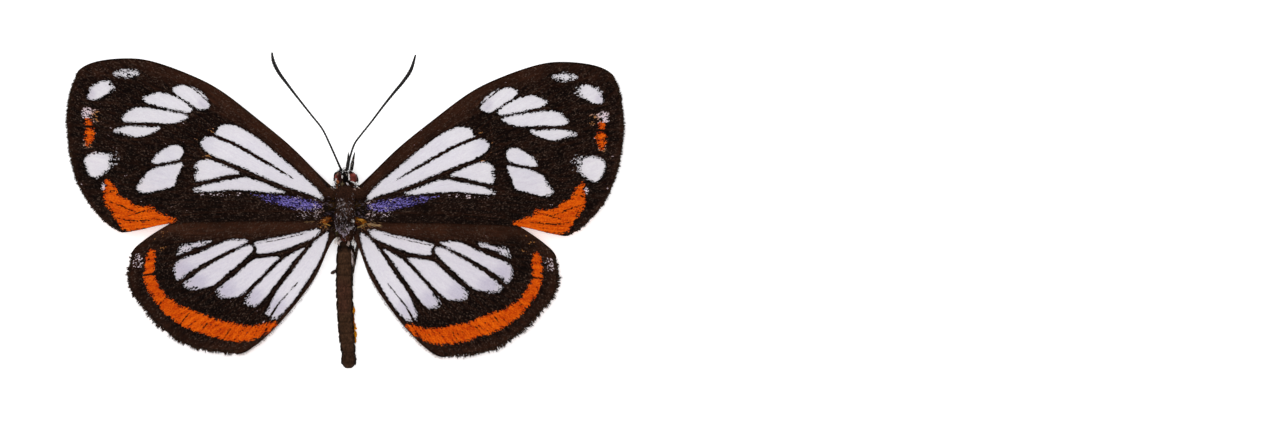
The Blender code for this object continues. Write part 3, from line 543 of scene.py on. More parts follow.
def from_hex(text):
    """Turn an sRGB hex colour into linear numbers."""
    values = [int(text[place:place + 2], 16) / 255 for place in (1, 3, 5)]
    return tuple(v / 12.92 if v <= 0.04045 else ((v + 0.055) / 1.055) ** 2.4 for v in values)


def colour_property(name, text, description):
    """A colour that a user can change."""
    return FloatVectorProperty(
        name=name, description=description, default=from_hex(text), size=3, min=0.0, max=1.0,
        subtype="COLOR",
    )


class ButterflyWingSettings(bpy.types.PropertyGroup):
    """Sizes and colours of the four wings."""

    membrane: FloatProperty(
        name="Wing thickness", description="Thickness of the wing with its two layers of scales",
        default=0.09 * MM, unit="LENGTH",
    )
    vein_relief: FloatProperty(
        name="Vein relief", description="How far a vein stands proud of each side",
        default=0.035 * MM, unit="LENGTH",
    )
    scale_length: FloatProperty(
        name="Scale length", description="Length of one drawn wing scale",
        default=0.115 * MM, unit="LENGTH",
    )
    scale_width: FloatProperty(
        name="Scale width", description="Width of one drawn wing scale",
        default=0.066 * MM, unit="LENGTH",
    )
    window_cover: FloatProperty(
        name="Window cover", description="How much one side of a clear window hides",
        default=0.5, min=0.0, max=1.0, subtype="FACTOR",
    )
    ground: colour_property("Ground", "#090302", "Black brown scales of the upper side")
    costa: colour_property("Costa", "#331b10", "Brown scales along the front edge")
    under_ground: colour_property("Under ground", "#0a0100", "Maroon brown scales of the under side")
    under_costa: colour_property("Under costa", "#401608", "Golden brown scales of the under side")
    window: colour_property("Window", "#e8e4e8", "Thin, milky scales of the clear windows")
    bloom: colour_property("Bloom", "#b3a8bc", "Lilac bloom on the windows")
    orange: colour_property("Orange", "#a42c02", "Deep orange band scales")
    amber: colour_property("Amber", "#e06208", "Bright orange band scales")
    ochre: colour_property("Ochre", "#96460a", "Ochre scales of the under side's bands")
    saffron: colour_property("Saffron", "#f47e08", "Bright scales of the under side's bands")
    haze: colour_property("Haze", "#6d66aa", "Lilac haze on the windows of the under side")
    blue: colour_property("Blue", "#131042", "Deep blue scales")
    violet: colour_property("Violet", "#7a6eba", "Brighter violet scales")
    dust: colour_property("Dust", "#cfc0ca", "Pale stray scales")
    gold: colour_property("Gold", "#9a683a", "Golden brown stray scales")
    # Glint and under glint are painted glints: single scales painted lighter, as if they caught the
    # light.
    under_gold: colour_property("Under gold", "#6a4622", "Golden brown lines along the front veins below")
    glint: colour_property("Glint", "#40322a", "Single lighter scales in the ground")
    under_glint: colour_property("Under glint", "#2c1008", "Single lighter scales in the ground below")
    fringe: colour_property("Fringe", "#33231a", "Fringe scales along the outer edge")


class ButterflyBodySettings(bpy.types.PropertyGroup):
    """Colours and hair of the body."""

    skin: colour_property("Body", "#2e1c15", "Dark brown scales of thorax and head")
    abdomen: colour_property("Abdomen", "#3c281b", "Brown scales on the abdomen's back")
    belly: colour_property("Belly", "#d9d2c6", "Cream scales below the abdomen")
    stripe: colour_property("Stripe", "#c8822c", "Orange brown stripe on the abdomen")
    eye: colour_property("Eye", "#84342a", "Dark red brown eye")
    horn: colour_property("Horn", "#060404", "Black antennae and palps")
    leg: colour_property("Legs", "#26140b", "Dark brown legs")
    hair_width: FloatProperty(
        name="Hair width", description="Width of one drawn hair", default=0.042 * MM, unit="LENGTH",
    )
    back_hairs: IntProperty(name="Back hairs", description="Hairs on the thorax", default=7000, min=0)


class ButterflyStageSettings(bpy.types.PropertyGroup):
    """Floor, light and camera."""

    floor: colour_property("Floor", "#f7f7f7", "White card under the butterfly")
    glow: FloatProperty(
        name="Light table", description="Light that comes through the white card", default=0.42, min=0.0,
    )
    light: FloatProperty(
        name="Soft light", description="Strength of the large soft light", default=0.62, min=0.0,
    )
    surround: FloatProperty(
        name="Surroundings", description="Strength of the white surroundings", default=0.72, min=0.0,
    )
    focal: FloatProperty(name="Focal length", description="Lens in millimetres", default=200.0, min=1.0)
    distance: FloatProperty(
        name="Camera height", description="Camera height above the wings", default=583.0 * MM,
        unit="LENGTH",
    )


def deselect_all():
    """Leave nothing selected, so that an operator acts on its own piece alone."""
    bpy.ops.object.select_all(action="DESELECT")


def select_only(piece):
    """Select one piece alone and make it the active one."""
    deselect_all()
    piece.select_set(True)
    bpy.context.view_layer.objects.active = piece


def add_node(tree, kind, sockets=None, **settings):
    """Add one node with its settings, and set or link its sockets.

    Where a node is given for a socket, its first output is linked.
    """
    node = tree.nodes.new(kind)
    for key, value in settings.items():
        setattr(node, key, value)
    for socket, value in (sockets or {}).items():
        if isinstance(value, bpy.types.Node):
            value = value.outputs[0]
        if isinstance(value, bpy.types.NodeSocket):
            tree.links.new(value, node.inputs[socket])
        else:
            node.inputs[socket].default_value = value
    return node


def new_material(name, roughness, gloss):
    """Start a material, and give its node tree, shader and object coordinates."""
    material = bpy.data.materials.new(name)
    material.use_nodes = True
    tree = material.node_tree
    shader = tree.nodes["Principled BSDF"]
    shader.inputs["Roughness"].default_value = roughness
    shader.inputs["Specular IOR Level"].default_value = gloss
    place = add_node(tree, "ShaderNodeTexCoord").outputs["Object"]
    return material, tree, shader, place


def tinted(tree, shade):
    """Nodes for a piece's own tint, multiplied by a shade or a colour; on the eyes, the hair roots and
    the abdomen's flanks the tint holds painted shade.
    """
    tint = add_node(tree, "ShaderNodeAttribute", attribute_name="tint")
    return add_node(tree, "ShaderNodeMix", {
        MIX_FACTOR: 1.0, MIX_A: tint.outputs["Color"], MIX_B: shade,
    }, data_type="RGBA", blend_type="MULTIPLY")


def with_alpha(colour):
    """A colour with full cover, as node sockets want it."""
    return (*colour, 1.0)


def catmull(points, steps, closed=False):
    """Smooth line through points, with a number of steps between each two."""
    points = np.array(points, float)
    if closed:
        before, end, after = np.roll(points, 1, 0), np.roll(points, -1, 0), np.roll(points, -2, 0)
        start = points
    else:
        start, end = points[:-1], points[1:]
        before = np.vstack([points[:1], points[:-2]])
        after = np.vstack([points[2:], points[-1:]])
    slope_1 = 0.5 * (end - before)
    slope_2 = 0.5 * (after - start)
    line = []
    for step in range(steps):
        t = step / steps
        line.append(
            (2 * t**3 - 3 * t**2 + 1) * start + (t**3 - 2 * t**2 + t) * slope_1
            + (3 * t**2 - 2 * t**3) * end + (t**3 - t**2) * slope_2
        )
    line = np.stack(line, 1).reshape(-1, points.shape[1])
    return line if closed else np.vstack([line, points[-1:]])


def way_along(line):
    """Length along a line up to each of its points."""
    steps = np.linalg.norm(np.diff(line, axis=0), axis=1)
    return np.concatenate([[0.0], np.cumsum(steps)])


def along_line(line, fractions):
    """Points at fractions of a line's length in plan."""
    way = way_along(line[:, :2])
    target = np.asarray(fractions) * way[-1]
    return np.stack([np.interp(target, way, column) for column in line.T], -1)


def segment_gap(x, y, start, end):
    """Distance to one straight stretch, and the place along it from 0 to 1."""
    dx, dy = end[0] - start[0], end[1] - start[1]
    t = ((x - start[0]) * dx + (y - start[1]) * dy) / (dx * dx + dy * dy + 1e-12)
    t = np.clip(t, 0.0, 1.0)
    return np.hypot(x - start[0] - t * dx, y - start[1] - t * dy), t


def shape_distance(x, y, outline):
    """Distance in mm inside a smooth closed outline, negative outside."""
    line = catmull(outline, 4, closed=True)
    gap = np.full(x.shape, 1e3)
    inside = np.zeros(x.shape, bool)
    for start, end in zip(line, np.roll(line, -1, 0)):
        gap = np.minimum(gap, segment_gap(x, y, start, end)[0])
        crosses = (start[1] > y) != (end[1] > y)
        rise = end[1] - start[1] if end[1] != start[1] else 1e-12
        inside ^= crosses & (x < (end[0] - start[0]) * (y - start[1]) / rise + start[0])
    return np.where(inside, gap, -gap)


def line_distance(x, y, route):
    """Half the line's width less the distance to it, so positive on the line."""
    line = catmull([point if len(point) == 3 else (*point, 0.0) for point in route], 4)
    best = np.full(x.shape, -1e3)
    for start, end in zip(line, line[1:]):
        gap, t = segment_gap(x, y, start, end)
        best = np.maximum(best, start[2] + t * (end[2] - start[2]) - gap)
    return best


def spot_field(x, y, spots, base=0.0):
    """Highest of several round, soft-edged spots: x, y, radius, value."""
    field = np.full(x.shape, base)
    for spot_x, spot_y, radius, value in spots:
        fall = np.clip(1.6 * (1 - np.hypot(x - spot_x, y - spot_y) / radius), 0.0, 1.0)
        field = np.maximum(field, base + (value - base) * fall)
    return field


def smooth_between(low, high, value):
    """0 below low, 1 above high, and smooth between."""
    t = np.clip((value - low) / (high - low), 0.0, 1.0)
    return t * t * (3 - 2 * t)


# Most that a scale's own randomness adds to a pattern's gap
STRAY_REACH = 1.25


def shapes_layer(x, y, outlines, soft, tint, stray=0.0):
    """A pattern layer: distance inside the shapes, softness of the rim and tint.

    Stray is the share of ground scales left standing inside the shapes.
    """
    gap = np.max([shape_distance(x, y, outline) for outline in outlines], axis=0)
    if stray > 0:
        gap = np.minimum(gap, (1 - 2 * stray) * soft)
    return np.stack([gap, soft + 0 * x, tint + 0 * x], 1)


def lines_layer(x, y, routes, soft):
    """A pattern layer of thin lines."""
    gap = np.max([line_distance(x, y, route) for route in routes], axis=0)
    return np.stack([gap, soft + 0 * x, 0 * x], 1)


def dust_layer(x, y, cover, tint):
    """A pattern layer of single stray scales that cover a share of the surface."""
    return np.stack([STRAY_REACH * (2 * cover - 1) + 0 * x, np.ones(x.shape), tint + 0 * x], 1)


def ground_layer(brown, vein_gap, vein_brown, dark):
    """Brownness of the ground, raised along the veins, and how much painted shade darkens it."""
    near = np.exp(-(vein_gap / 0.08) ** 2)
    return np.stack([brown + vein_brown * near, dark, 0 * near], 1)


def painted_rim_shade(windows, edge_gap=-1.0):
    """Painted shade: darkening of the ground beside a window or, where a gap to it is given, beside the
    wing's edge.
    """
    beside = smooth_between(-0.24, -0.06, windows[:, 0]) * 0.75
    return np.maximum(beside, smooth_between(-0.16, -0.04, edge_gap) * 0.8)


def vein_gap_field(x, y, veins):
    """Distance to the nearest vein."""
    return -np.max([line_distance(x, y, vein) for vein in veins], axis=0)


def forewing_upper(x, y):
    """Pattern of a forewing's upper side."""
    veins = vein_gap_field(x, y, FOREWING_VEINS)
    edge = line_distance(x, y, FOREWING_EDGE[:9])
    front = smooth_between(-2.4, 0.2, edge) * (0.35 + 0.65 * smooth_between(-19.0, -11.0, x))
    margin = smooth_between(-0.8, 0.0, line_distance(x, y, FOREWING_EDGE[9:18]))
    soft = spot_field(x, y, FOREWING_SOFT_SPOTS, 0.1)
    lilac = spot_field(x, y, [(-11.6, 8.8, 0.7, 0.5), (-21.0, 9.4, 0.7, 0.5)], 0.04)
    windows = shapes_layer(x, y, FOREWING_WINDOWS, soft, lilac)
    dust = spot_field(x, y, [
        (-21.1, 7.9, 0.7, 0.62), (-19.75, 1.9, 0.45, 0.6), (-2.0, 0.2, 1.3, 0.26),
        (-3.4, -0.15, 0.9, 0.22), (-3.8, 0.65, 1.0, 0.14), (-5.4, 1.0, 0.8, 0.1),
        (-11.2, 4.35, 0.6, 0.3), (-11.0, 6.25, 0.6, 0.3), (-20.5, 7.7, 0.9, 0.3),
        (-12.2, 5.4, 0.9, 0.12), (-21.1, 5.5, 0.6, 0.5), (-20.4, 6.1, 0.35, 0.25),
        (-11.6, 1.35, 0.4, 0.3), (-10.9, 1.3, 0.4, 0.25), (-10.2, 1.3, 0.4, 0.3),
        (-9.4, 1.28, 0.4, 0.25), (-8.6, 1.25, 0.4, 0.25),
    ], 0.03)
    golden = spot_field(x, y, [
        (-11.2, 4.3, 0.9, 1.0), (-11.0, 6.25, 0.9, 1.0), (-20.3, 7.7, 0.75, 1.0), (-12.2, 5.4, 0.9, 1.0),
        (-1.3, -0.1, 1.2, 0.5), (-21.0, 5.3, 0.9, 0.8),
    ])
    bright = spot_field(x, y, [
        (-4.6, 0.65, 1.0, 0.05), (-2.9, 0.3, 1.1, 0.1), (-7.0, 1.2, 1.5, -0.05),
    ], -0.45)
    blue = shape_distance(x, y, FOREWING_UPPER_BLUE)
    cover = 0.56 * smooth_between(-0.15, 0.35, blue) * (0.4 + 0.6 * smooth_between(-10.0, -5.0, x))
    orange_soft = spot_field(x, y, [(-21.0, 6.3, 1.4, 0.3)], 0.2)
    tint = spot_field(x, y, [
        (-18.6, 0.6, 1.2, 0.2), (-16.6, -0.7, 1.1, 0.3), (-20.9, 6.3, 1.5, -0.1),
    ], 0.12)
    return {
        "windows": windows,
        "orange": shapes_layer(x, y, FOREWING_UPPER_ORANGE, orange_soft, tint, stray=0.05),
        "accent": dust_layer(x, y, cover, bright),
        "dust": dust_layer(x, y, dust, golden),
        "lines": lines_layer(x, y, FOREWING_UPPER_LINES, 0.07),
        "ground": ground_layer(0.7 * front + 0.3 * margin, veins, 0.25, painted_rim_shade(windows, edge)),
    }


def forewing_under(x, y):
    """Pattern of a forewing's under side."""
    veins = vein_gap_field(x, y, FOREWING_VEINS)
    gold_lines = [FOREWING_VEINS[0], FOREWING_VEINS[1][:4], [(-1.6, 1.9), (-6.4, 6.3), (-11.2, 9.9)]]
    gold = np.max([line_distance(x, y, route) for route in gold_lines], axis=0)
    edge = line_distance(x, y, FOREWING_EDGE[:9])
    front = smooth_between(-1.6, 0.3, line_distance(x, y, [(-1.5, 1.8), (-6.0, 5.9), (-11.0, 9.8)]))
    tip = smooth_between(-1.3, 0.0, np.maximum(edge, line_distance(x, y, FOREWING_EDGE[8:14])))
    tip = tip * smooth_between(-16.0, -21.0, x)
    soft = spot_field(x, y, FOREWING_SOFT_SPOTS, 0.035)
    golden = smooth_between(-0.12, 0.0, gold)
    dust = spot_field(x, y, [(-21.2, 7.9, 0.5, 0.7), (-20.9, 9.6, 0.8, 0.3)], 0.03)
    dust = np.maximum(dust, 0.36 * golden)
    haze = spot_field(x, y, [
        (-5.0, 3.0, 4.0, 0.35), (-15.0, 2.5, 2.0, 0.4), (-9.0, 2.0, 3.0, 0.3), (-11.6, 5.6, 1.2, 0.6),
        (-8.0, 5.0, 1.6, 0.3), (-14.4, 4.2, 0.8, 0.35), (-20.2, 3.4, 0.8, 0.2), (-10.5, 7.6, 0.8, 0.3),
    ], 0.05)
    windows = shapes_layer(x, y, FOREWING_WINDOWS, 0.8 * soft, haze)
    tint = spot_field(x, y, [(-18.0, -0.3, 2.6, 0.75)], 0.05)
    brown = np.maximum(0.6 * front, 0.7 * tip)
    return {
        "windows": windows,
        "orange": shapes_layer(x, y, FOREWING_UNDER_ORANGE, 0.14, tint, stray=0.06),
        "accent": dust_layer(x, y, 0.0, 0.0),
        "dust": dust_layer(x, y, dust, smooth_between(-0.3, -0.15, gold)),
        "lines": lines_layer(x, y, FOREWING_UNDER_LINES, 0.05),
        "ground": ground_layer(brown, veins, 0.25, painted_rim_shade(windows)),
    }


def hindwing_upper(x, y):
    """Pattern of a hindwing's upper side."""
    veins = vein_gap_field(x, y, HINDWING_VEINS)
    front = smooth_between(-2.8, -1.4, y) * smooth_between(1.0, 3.0, -x)
    edge = line_distance(x, y, HINDWING_EDGE[6:16])
    margin = smooth_between(-1.6, -0.3, edge)
    inner = smooth_between(-0.6, 0.0, line_distance(x, y, HINDWING_EDGE[15:]))
    soft = spot_field(x, y, HINDWING_SOFT_SPOTS, 0.08)
    windows = shapes_layer(x, y, HINDWING_WINDOWS, soft, 0.2 + 0.25 * spot_field(x, y, HINDWING_BLOOM))
    windows[:, 0] -= WINDOW_RIM
    dust = spot_field(x, y, [
        (-16.95, -4.2, 0.9, 0.3), (-14.9, -2.6, 1.2, 0.14), (-7.0, -9.2, 0.9, 0.1),
        (-1.8, -1.2, 0.8, 0.3),
    ], 0.03)
    golden = spot_field(x, y, [(-14.9, -2.6, 1.6, 1.0), (-1.8, -1.2, 0.9, 1.0)])
    tint = spot_field(x, y, [
        (-16.1, -4.6, 1.8, -1.0), (-12.5, -9.0, 1.6, 0.2), (-7.5, -11.0, 1.6, 0.2),
    ], 0.04)
    brown = 0.75 * np.max([front, 0.55 * margin, 0.6 * inner], axis=0)
    return {
        "windows": windows,
        "orange": shapes_layer(x, y, HINDWING_UPPER_ORANGE, 0.18, tint, stray=0.08),
        "accent": dust_layer(x, y, 0.0, 0.0),
        "dust": dust_layer(x, y, dust, golden),
        "lines": lines_layer(x, y, HINDWING_UPPER_LINES, 0.06),
        "ground": ground_layer(brown, veins, 0.2, painted_rim_shade(windows, edge)),
    }


def hindwing_under(x, y):
    """Pattern of a hindwing's under side."""
    veins = vein_gap_field(x, y, HINDWING_VEINS)
    soft = np.minimum(spot_field(x, y, HINDWING_SOFT_SPOTS, 0.04), 0.16)
    dust = spot_field(x, y, [(-17.3, -3.8, 1.0, 0.75), (-17.3, -4.9, 1.0, 0.55)], 0.03)
    margin = smooth_between(-1.0, -0.2, line_distance(x, y, HINDWING_EDGE[6:16]))
    tint = spot_field(x, y, [
        (-16.0, -4.0, 2.0, 0.2), (-13.5, -8.8, 2.5, 0.12), (-7.5, -10.3, 1.6, 0.22),
        (-4.0, -0.9, 2.0, 0.1), (-10.8, -9.8, 1.5, -0.05), (-14.0, -1.6, 2.0, 0.1),
        (-6.0, -0.8, 2.0, 0.05), (-16.0, -7.3, 1.2, 0.15),
    ], 0.04)
    haze = spot_field(x, y, [
        (-11.5, -5.0, 3.5, 0.25), (-7.5, -6.5, 3.0, 0.15), (-3.5, -4.0, 2.0, 0.1),
    ], 0.08)
    haze = haze + 0.55 * spot_field(x, y, HINDWING_BLOOM)
    windows = shapes_layer(x, y, HINDWING_WINDOWS + HINDWING_UNDER_WINDOWS, soft, haze)
    windows[:, 0] -= WINDOW_RIM
    return {
        "windows": windows,
        "orange": shapes_layer(x, y, HINDWING_UNDER_ORANGE, 0.16, tint, stray=0.07),
        "accent": shapes_layer(x, y, HINDWING_UNDER_OCHRE, 0.1, 0.0, stray=0.03),
        "dust": dust_layer(x, y, dust, 0.0),
        "lines": lines_layer(x, y, HINDWING_UNDER_LINES, 0.06),
        "ground": ground_layer(0.65 * margin, veins, 0.25, painted_rim_shade(windows)),
    }


# Each kind of wing: its edge with the edge points at apex and tornus, its middle in plan and its level;
# grid cells along and across; how far the membrane stops inside the edge and how long the fringe's
# teeth are; the hub that the streaks run out from, how fine they are and how the scales' rows turn
WINGS = {
    "forewing": {
        "edge": FOREWING_EDGE, "apex": 9, "tornus": 18, "middle": (-10.0, 4.0), "z": FOREWING_Z,
        "veins": FOREWING_VEINS, "right_set": RIGHT_FOREWING_SET, "cells": (220, 132),
        "inset": 0.16, "tooth": 0.12, "soft_rear": False,
        "hub": (-1.0, 0.4), "streak_turns": 75.0, "scale_turn": 20.0,
        "upper": forewing_upper, "under": forewing_under,
    },
    "hindwing": {
        "edge": HINDWING_EDGE, "apex": 7, "tornus": 14, "middle": (-8.5, -4.5), "z": HINDWING_Z,
        "veins": HINDWING_VEINS, "right_set": RIGHT_HINDWING_SET, "cells": (170, 140),
        "inset": 0.26, "tooth": 0.24, "soft_rear": True,
        "hub": (-1.0, -1.2), "streak_turns": 55.0, "scale_turn": -40.0,
        "upper": hindwing_upper, "under": hindwing_under,
    },
}


def set_right(x, y, right_set):
    """Mirror a left wing point and give it the right wing's set."""
    lean, turn, stretch, shift_x, shift_y = right_set
    x = -x
    return x + lean * y + shift_x, y + turn * x + stretch * y + shift_y


def wing_level(x, base_z):
    """Height of a wing's middle surface at a distance x from the body."""
    reach = np.clip((np.abs(x) - 1.0) / (WING_SPAN_HALF - 1.0), 0.0, 1.0)
    return base_z - WING_DROOP * reach**1.7 + WING_ARCH * np.sin(math.pi * reach)


def wing_runs(kind, inset=0.0):
    """The smooth front, outer and rear runs of a wing's edge, each from root to tip or rear to front.

    The outer run can be set in, between its ends, to leave room for the fringe.
    """
    steps = 12
    edge = catmull(kind["edge"], steps)
    apex, tornus = kind["apex"] * steps, kind["tornus"] * steps
    outer = edge[apex:tornus + 1][::-1].copy()
    ahead = np.gradient(outer, axis=0)
    inward = np.stack([ahead[:, 1], -ahead[:, 0]], 1) / np.linalg.norm(ahead, axis=1, keepdims=True)
    share = np.linspace(0.0, 1.0, len(outer))
    taper = np.clip(np.minimum(share, 1 - share) / 0.06, 0.0, 1.0)
    outer += inward * (inset * taper)[:, None]
    return edge[:apex + 1], outer, edge[tornus:][::-1]


def wing_net(kind, u, v):
    """Plan place of wing points, u from root to outer edge and v from rear to front."""
    front, outer, rear = wing_runs(kind, kind["inset"])
    u1, v1 = u[:, None], v[:, None]
    sides = (1 - v1) * along_line(rear, u) + v1 * along_line(front, u)
    ends = (1 - u1) * (rear[0] + v1 * (front[0] - rear[0])) + u1 * along_line(outer, v)
    root = (1 - v1) * rear[0] + v1 * front[0]
    far = (1 - v1) * rear[-1] + v1 * front[-1]
    return (sides + ends - ((1 - u1) * root + u1 * far)).T


def add_grid(name, along, across):
    """Add a flat grid, and give u and v from 0 to 1 for each of its points."""
    deselect_all()
    bpy.ops.mesh.primitive_grid_add(x_subdivisions=along, y_subdivisions=across, size=2)
    piece = bpy.context.object
    piece.name = name
    piece.data.name = name
    flat = get_points(piece)
    return piece, (flat[:, 0] + 1) / 2, (flat[:, 1] + 1) / 2


def get_points(piece):
    """A mesh's points as an array."""
    points = np.empty(len(piece.data.vertices) * 3, np.float32)
    piece.data.vertices.foreach_get("co", points)
    return points.reshape(-1, 3).astype(float)


def set_points(piece, x, y, z):
    """Place a mesh's points, given in millimetres."""
    points = np.stack([x, y, z], 1) * MM
    piece.data.vertices.foreach_set("co", points.astype(np.float32).ravel())
    piece.data.update()


def get_normals(piece):
    """A mesh's point normals as an array."""
    normals = np.empty(len(piece.data.vertices) * 3, np.float32)
    piece.data.vertex_normals.foreach_get("vector", normals)
    return normals.reshape(-1, 3)


def set_attribute(piece, name, values, kind="FLOAT_VECTOR"):
    """Store a value on each point for the material to read."""
    attribute = piece.data.attributes.new(name, kind, "POINT")
    key = "color" if kind == "FLOAT_COLOR" else "vector"
    attribute.data.foreach_set(key, values.astype(np.float32).ravel())


def merge_and_orient(piece):
    """Merge seam and pole points, and turn every face outwards."""
    select_only(piece)
    bpy.ops.object.mode_set(mode="EDIT")
    bpy.ops.mesh.select_all(action="SELECT")
    bpy.ops.mesh.remove_doubles(threshold=1e-6)
    bpy.ops.mesh.normals_make_consistent(inside=False)
    bpy.ops.object.mode_set(mode="OBJECT")
    bpy.ops.object.shade_smooth()


def finish_piece(piece, nodes=()):
    """Put a piece in the frame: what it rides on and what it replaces."""
    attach(piece, "root")
    if nodes:
        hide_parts(*nodes)


def scale_rows(tree, place, settings, turn):
    """Nodes for rows of single scales, and three random shades for each scale."""
    rows = add_node(tree, "ShaderNodeMapping", {
        "Vector": place,
        "Rotation": (0.0, 0.0, math.radians(turn)),
        "Scale": (settings.scale_length, settings.scale_width, settings.scale_width),
    }, vector_type="TEXTURE")
    scales = add_node(tree, "ShaderNodeTexVoronoi", {"Vector": rows, "Scale": 1.0})
    shades = add_node(tree, "ShaderNodeSeparateColor", {"Color": scales.outputs["Color"]})
    return scales, shades


def wing_streaks(tree, streak_turns):
    """Nodes for fine streaks that run out from the wing's root, from -1 to 1."""
    flow = add_node(tree, "ShaderNodeAttribute", attribute_name="flow")
    combed = add_node(tree, "ShaderNodeMapping", {
        "Vector": flow.outputs["Vector"], "Scale": (0.8, streak_turns, 1.0),
    })
    streaks = add_node(tree, "ShaderNodeTexNoise", {"Vector": combed, "Scale": 1.0, "Detail": 2.0})
    return add_node(tree, "ShaderNodeMapRange", {
        "Value": streaks.outputs["Fac"], "From Min": 0.3, "From Max": 0.7, "To Min": -1.0, "To Max": 1.0,
    }, clamp=False)


def ground_colour(tree, place, shades, streak, palette):
    """Nodes for the ground: dark and brown scales in streaks, single scales painted lighter as glints,
    and painted shade along the rims.
    """
    ground = add_node(tree, "ShaderNodeAttribute", attribute_name="ground")
    parts = add_node(tree, "ShaderNodeSeparateXYZ", {"Vector": ground.outputs["Vector"]})
    brown = parts.outputs[0]
    for source, weight in ((shades.outputs[1], 0.15), (streak, 0.24)):
        brown = add_node(tree, "ShaderNodeMath", {
            0: source, 1: weight, 2: brown,
        }, operation="MULTIPLY_ADD")
    # Painted glints: a few single scales made lighter at random.
    painted_glint = add_node(tree, "ShaderNodeMath", {0: shades.outputs[2], 1: 8.0}, operation="POWER")
    colour = with_alpha(palette["ground"])
    for share, tint in ((brown, "costa"), (painted_glint, "glint")):
        colour = add_node(tree, "ShaderNodeMix", {
            MIX_FACTOR: share, MIX_A: colour, MIX_B: with_alpha(palette[tint]),
        }, data_type="RGBA").outputs[MIX_RESULT]
    cloud = add_node(tree, "ShaderNodeTexNoise", {
        "Vector": place, "Scale": 1 / (2.5 * MM), "Detail": 3.0,
    })
    patchy_and_rim_shade = add_node(tree, "ShaderNodeMapRange", {
        "Value": cloud.outputs["Fac"], "From Min": 0.35, "From Max": 0.65, "To Min": 0.75, "To Max": 1.25,
    })
    # Painted shade along the rims, from the ground's second value, darkens the random patchiness.
    patchy_and_rim_shade = add_node(tree, "ShaderNodeMath", {
        0: parts.outputs[1], 1: -0.8, 2: patchy_and_rim_shade,
    }, operation="MULTIPLY_ADD")
    return add_node(tree, "ShaderNodeMix", {
        MIX_FACTOR: 1.0, MIX_A: colour, MIX_B: patchy_and_rim_shade,
    }, data_type="RGBA", blend_type="MULTIPLY", clamp_result=False).outputs[MIX_RESULT]


def layer_paint(tree, layer, tints, ragged, shades, streak):
    """Nodes for one layer of the pattern: where it lies, and its colour from scale to scale."""
    values = add_node(tree, "ShaderNodeAttribute", attribute_name=layer)
    parts = add_node(tree, "ShaderNodeSeparateXYZ", {"Vector": values.outputs["Vector"]})
    rim = add_node(tree, "ShaderNodeMath", {
        0: ragged, 1: parts.outputs[1], 2: parts.outputs[0],
    }, operation="MULTIPLY_ADD")
    mask = add_node(tree, "ShaderNodeMapRange", {
        "Value": rim, "From Min": -0.02, "From Max": 0.02,
    }, interpolation_type="SMOOTHSTEP")
    low, high, scatter = tints
    shade = parts.outputs[2]
    for source, weight in ((shades.outputs[2], scatter), (streak, 0.45 * scatter)):
        shade = add_node(tree, "ShaderNodeMath", {
            0: source, 1: weight, 2: shade,
        }, operation="MULTIPLY_ADD")
    paint = add_node(tree, "ShaderNodeMix", {
        MIX_FACTOR: shade, MIX_A: with_alpha(low), MIX_B: with_alpha(high),
    }, data_type="RGBA")
    return mask, paint.outputs[MIX_RESULT]


def wing_material(name, settings, turn, streak_turns, palette):
    """Wing scales: single flat, matt scales in rows, which break a pattern's rim up into specks.

    A real scale is about 0.1 by 0.05 mm. They are drawn coarser, so that single ones show.
    """
    material, tree, shader, place = new_material(name, 0.65, 0.02)
    scales, shades = scale_rows(tree, place, settings, turn)
    streak = wing_streaks(tree, streak_turns)
    grain = add_node(tree, "ShaderNodeMapRange", {
        "Value": shades.outputs[0], "To Min": -0.8, "To Max": 0.8,
    })
    ragged = add_node(tree, "ShaderNodeMath", {0: streak, 1: 0.4, 2: grain}, operation="MULTIPLY_ADD")
    colour = ground_colour(tree, place, shades, streak, palette)
    masks = {}
    for layer in ("accent", "dust", "orange", "windows", "lines"):
        masks[layer], paint = layer_paint(tree, layer, palette[layer], ragged, shades, streak)
        colour = add_node(tree, "ShaderNodeMix", {
            MIX_FACTOR: masks[layer], MIX_A: colour, MIX_B: paint,
        }, data_type="RGBA").outputs[MIX_RESULT]
    cover = add_node(tree, "ShaderNodeMapRange", {
        "Value": masks["windows"], "To Min": 1.0, "To Max": settings.window_cover,
    })
    cover = add_node(tree, "ShaderNodeMath", {0: cover, 1: masks["lines"]}, operation="MAXIMUM")
    bump = add_node(tree, "ShaderNodeBump", {
        "Height": scales.outputs["Distance"], "Strength": 0.35, "Distance": 0.02 * MM,
    }, invert=True)
    tree.links.new(colour, shader.inputs["Base Color"])
    tree.links.new(cover.outputs[0], shader.inputs["Alpha"])
    tree.links.new(bump.outputs[0], shader.inputs["Normal"])
    return material


def wing_palettes(settings):
    """Colours of the upper and the under side: each layer's low and high tint, and how scales scatter."""
    upper = {
        "ground": settings.ground,
        "costa": settings.costa,
        "glint": settings.glint,
        "accent": (settings.blue, settings.violet, 1.0),
        "dust": (settings.dust, settings.gold, 0.25),
        "orange": (settings.orange, settings.amber, 0.6),
        "windows": (settings.window, settings.bloom, 0.2),
        "lines": (settings.ground, settings.costa, 0.3),
    }
    under = {
        "ground": settings.under_ground,
        "costa": settings.under_costa,
        "glint": settings.under_glint,
        "accent": (settings.ochre, settings.saffron, 0.5),
        "dust": (settings.dust, settings.under_gold, 0.25),
        "orange": (settings.orange, settings.saffron, 0.4),
        "windows": (settings.window, settings.haze, 0.3),
        "lines": (settings.under_ground, settings.under_costa, 0.3),
    }
    return upper, under


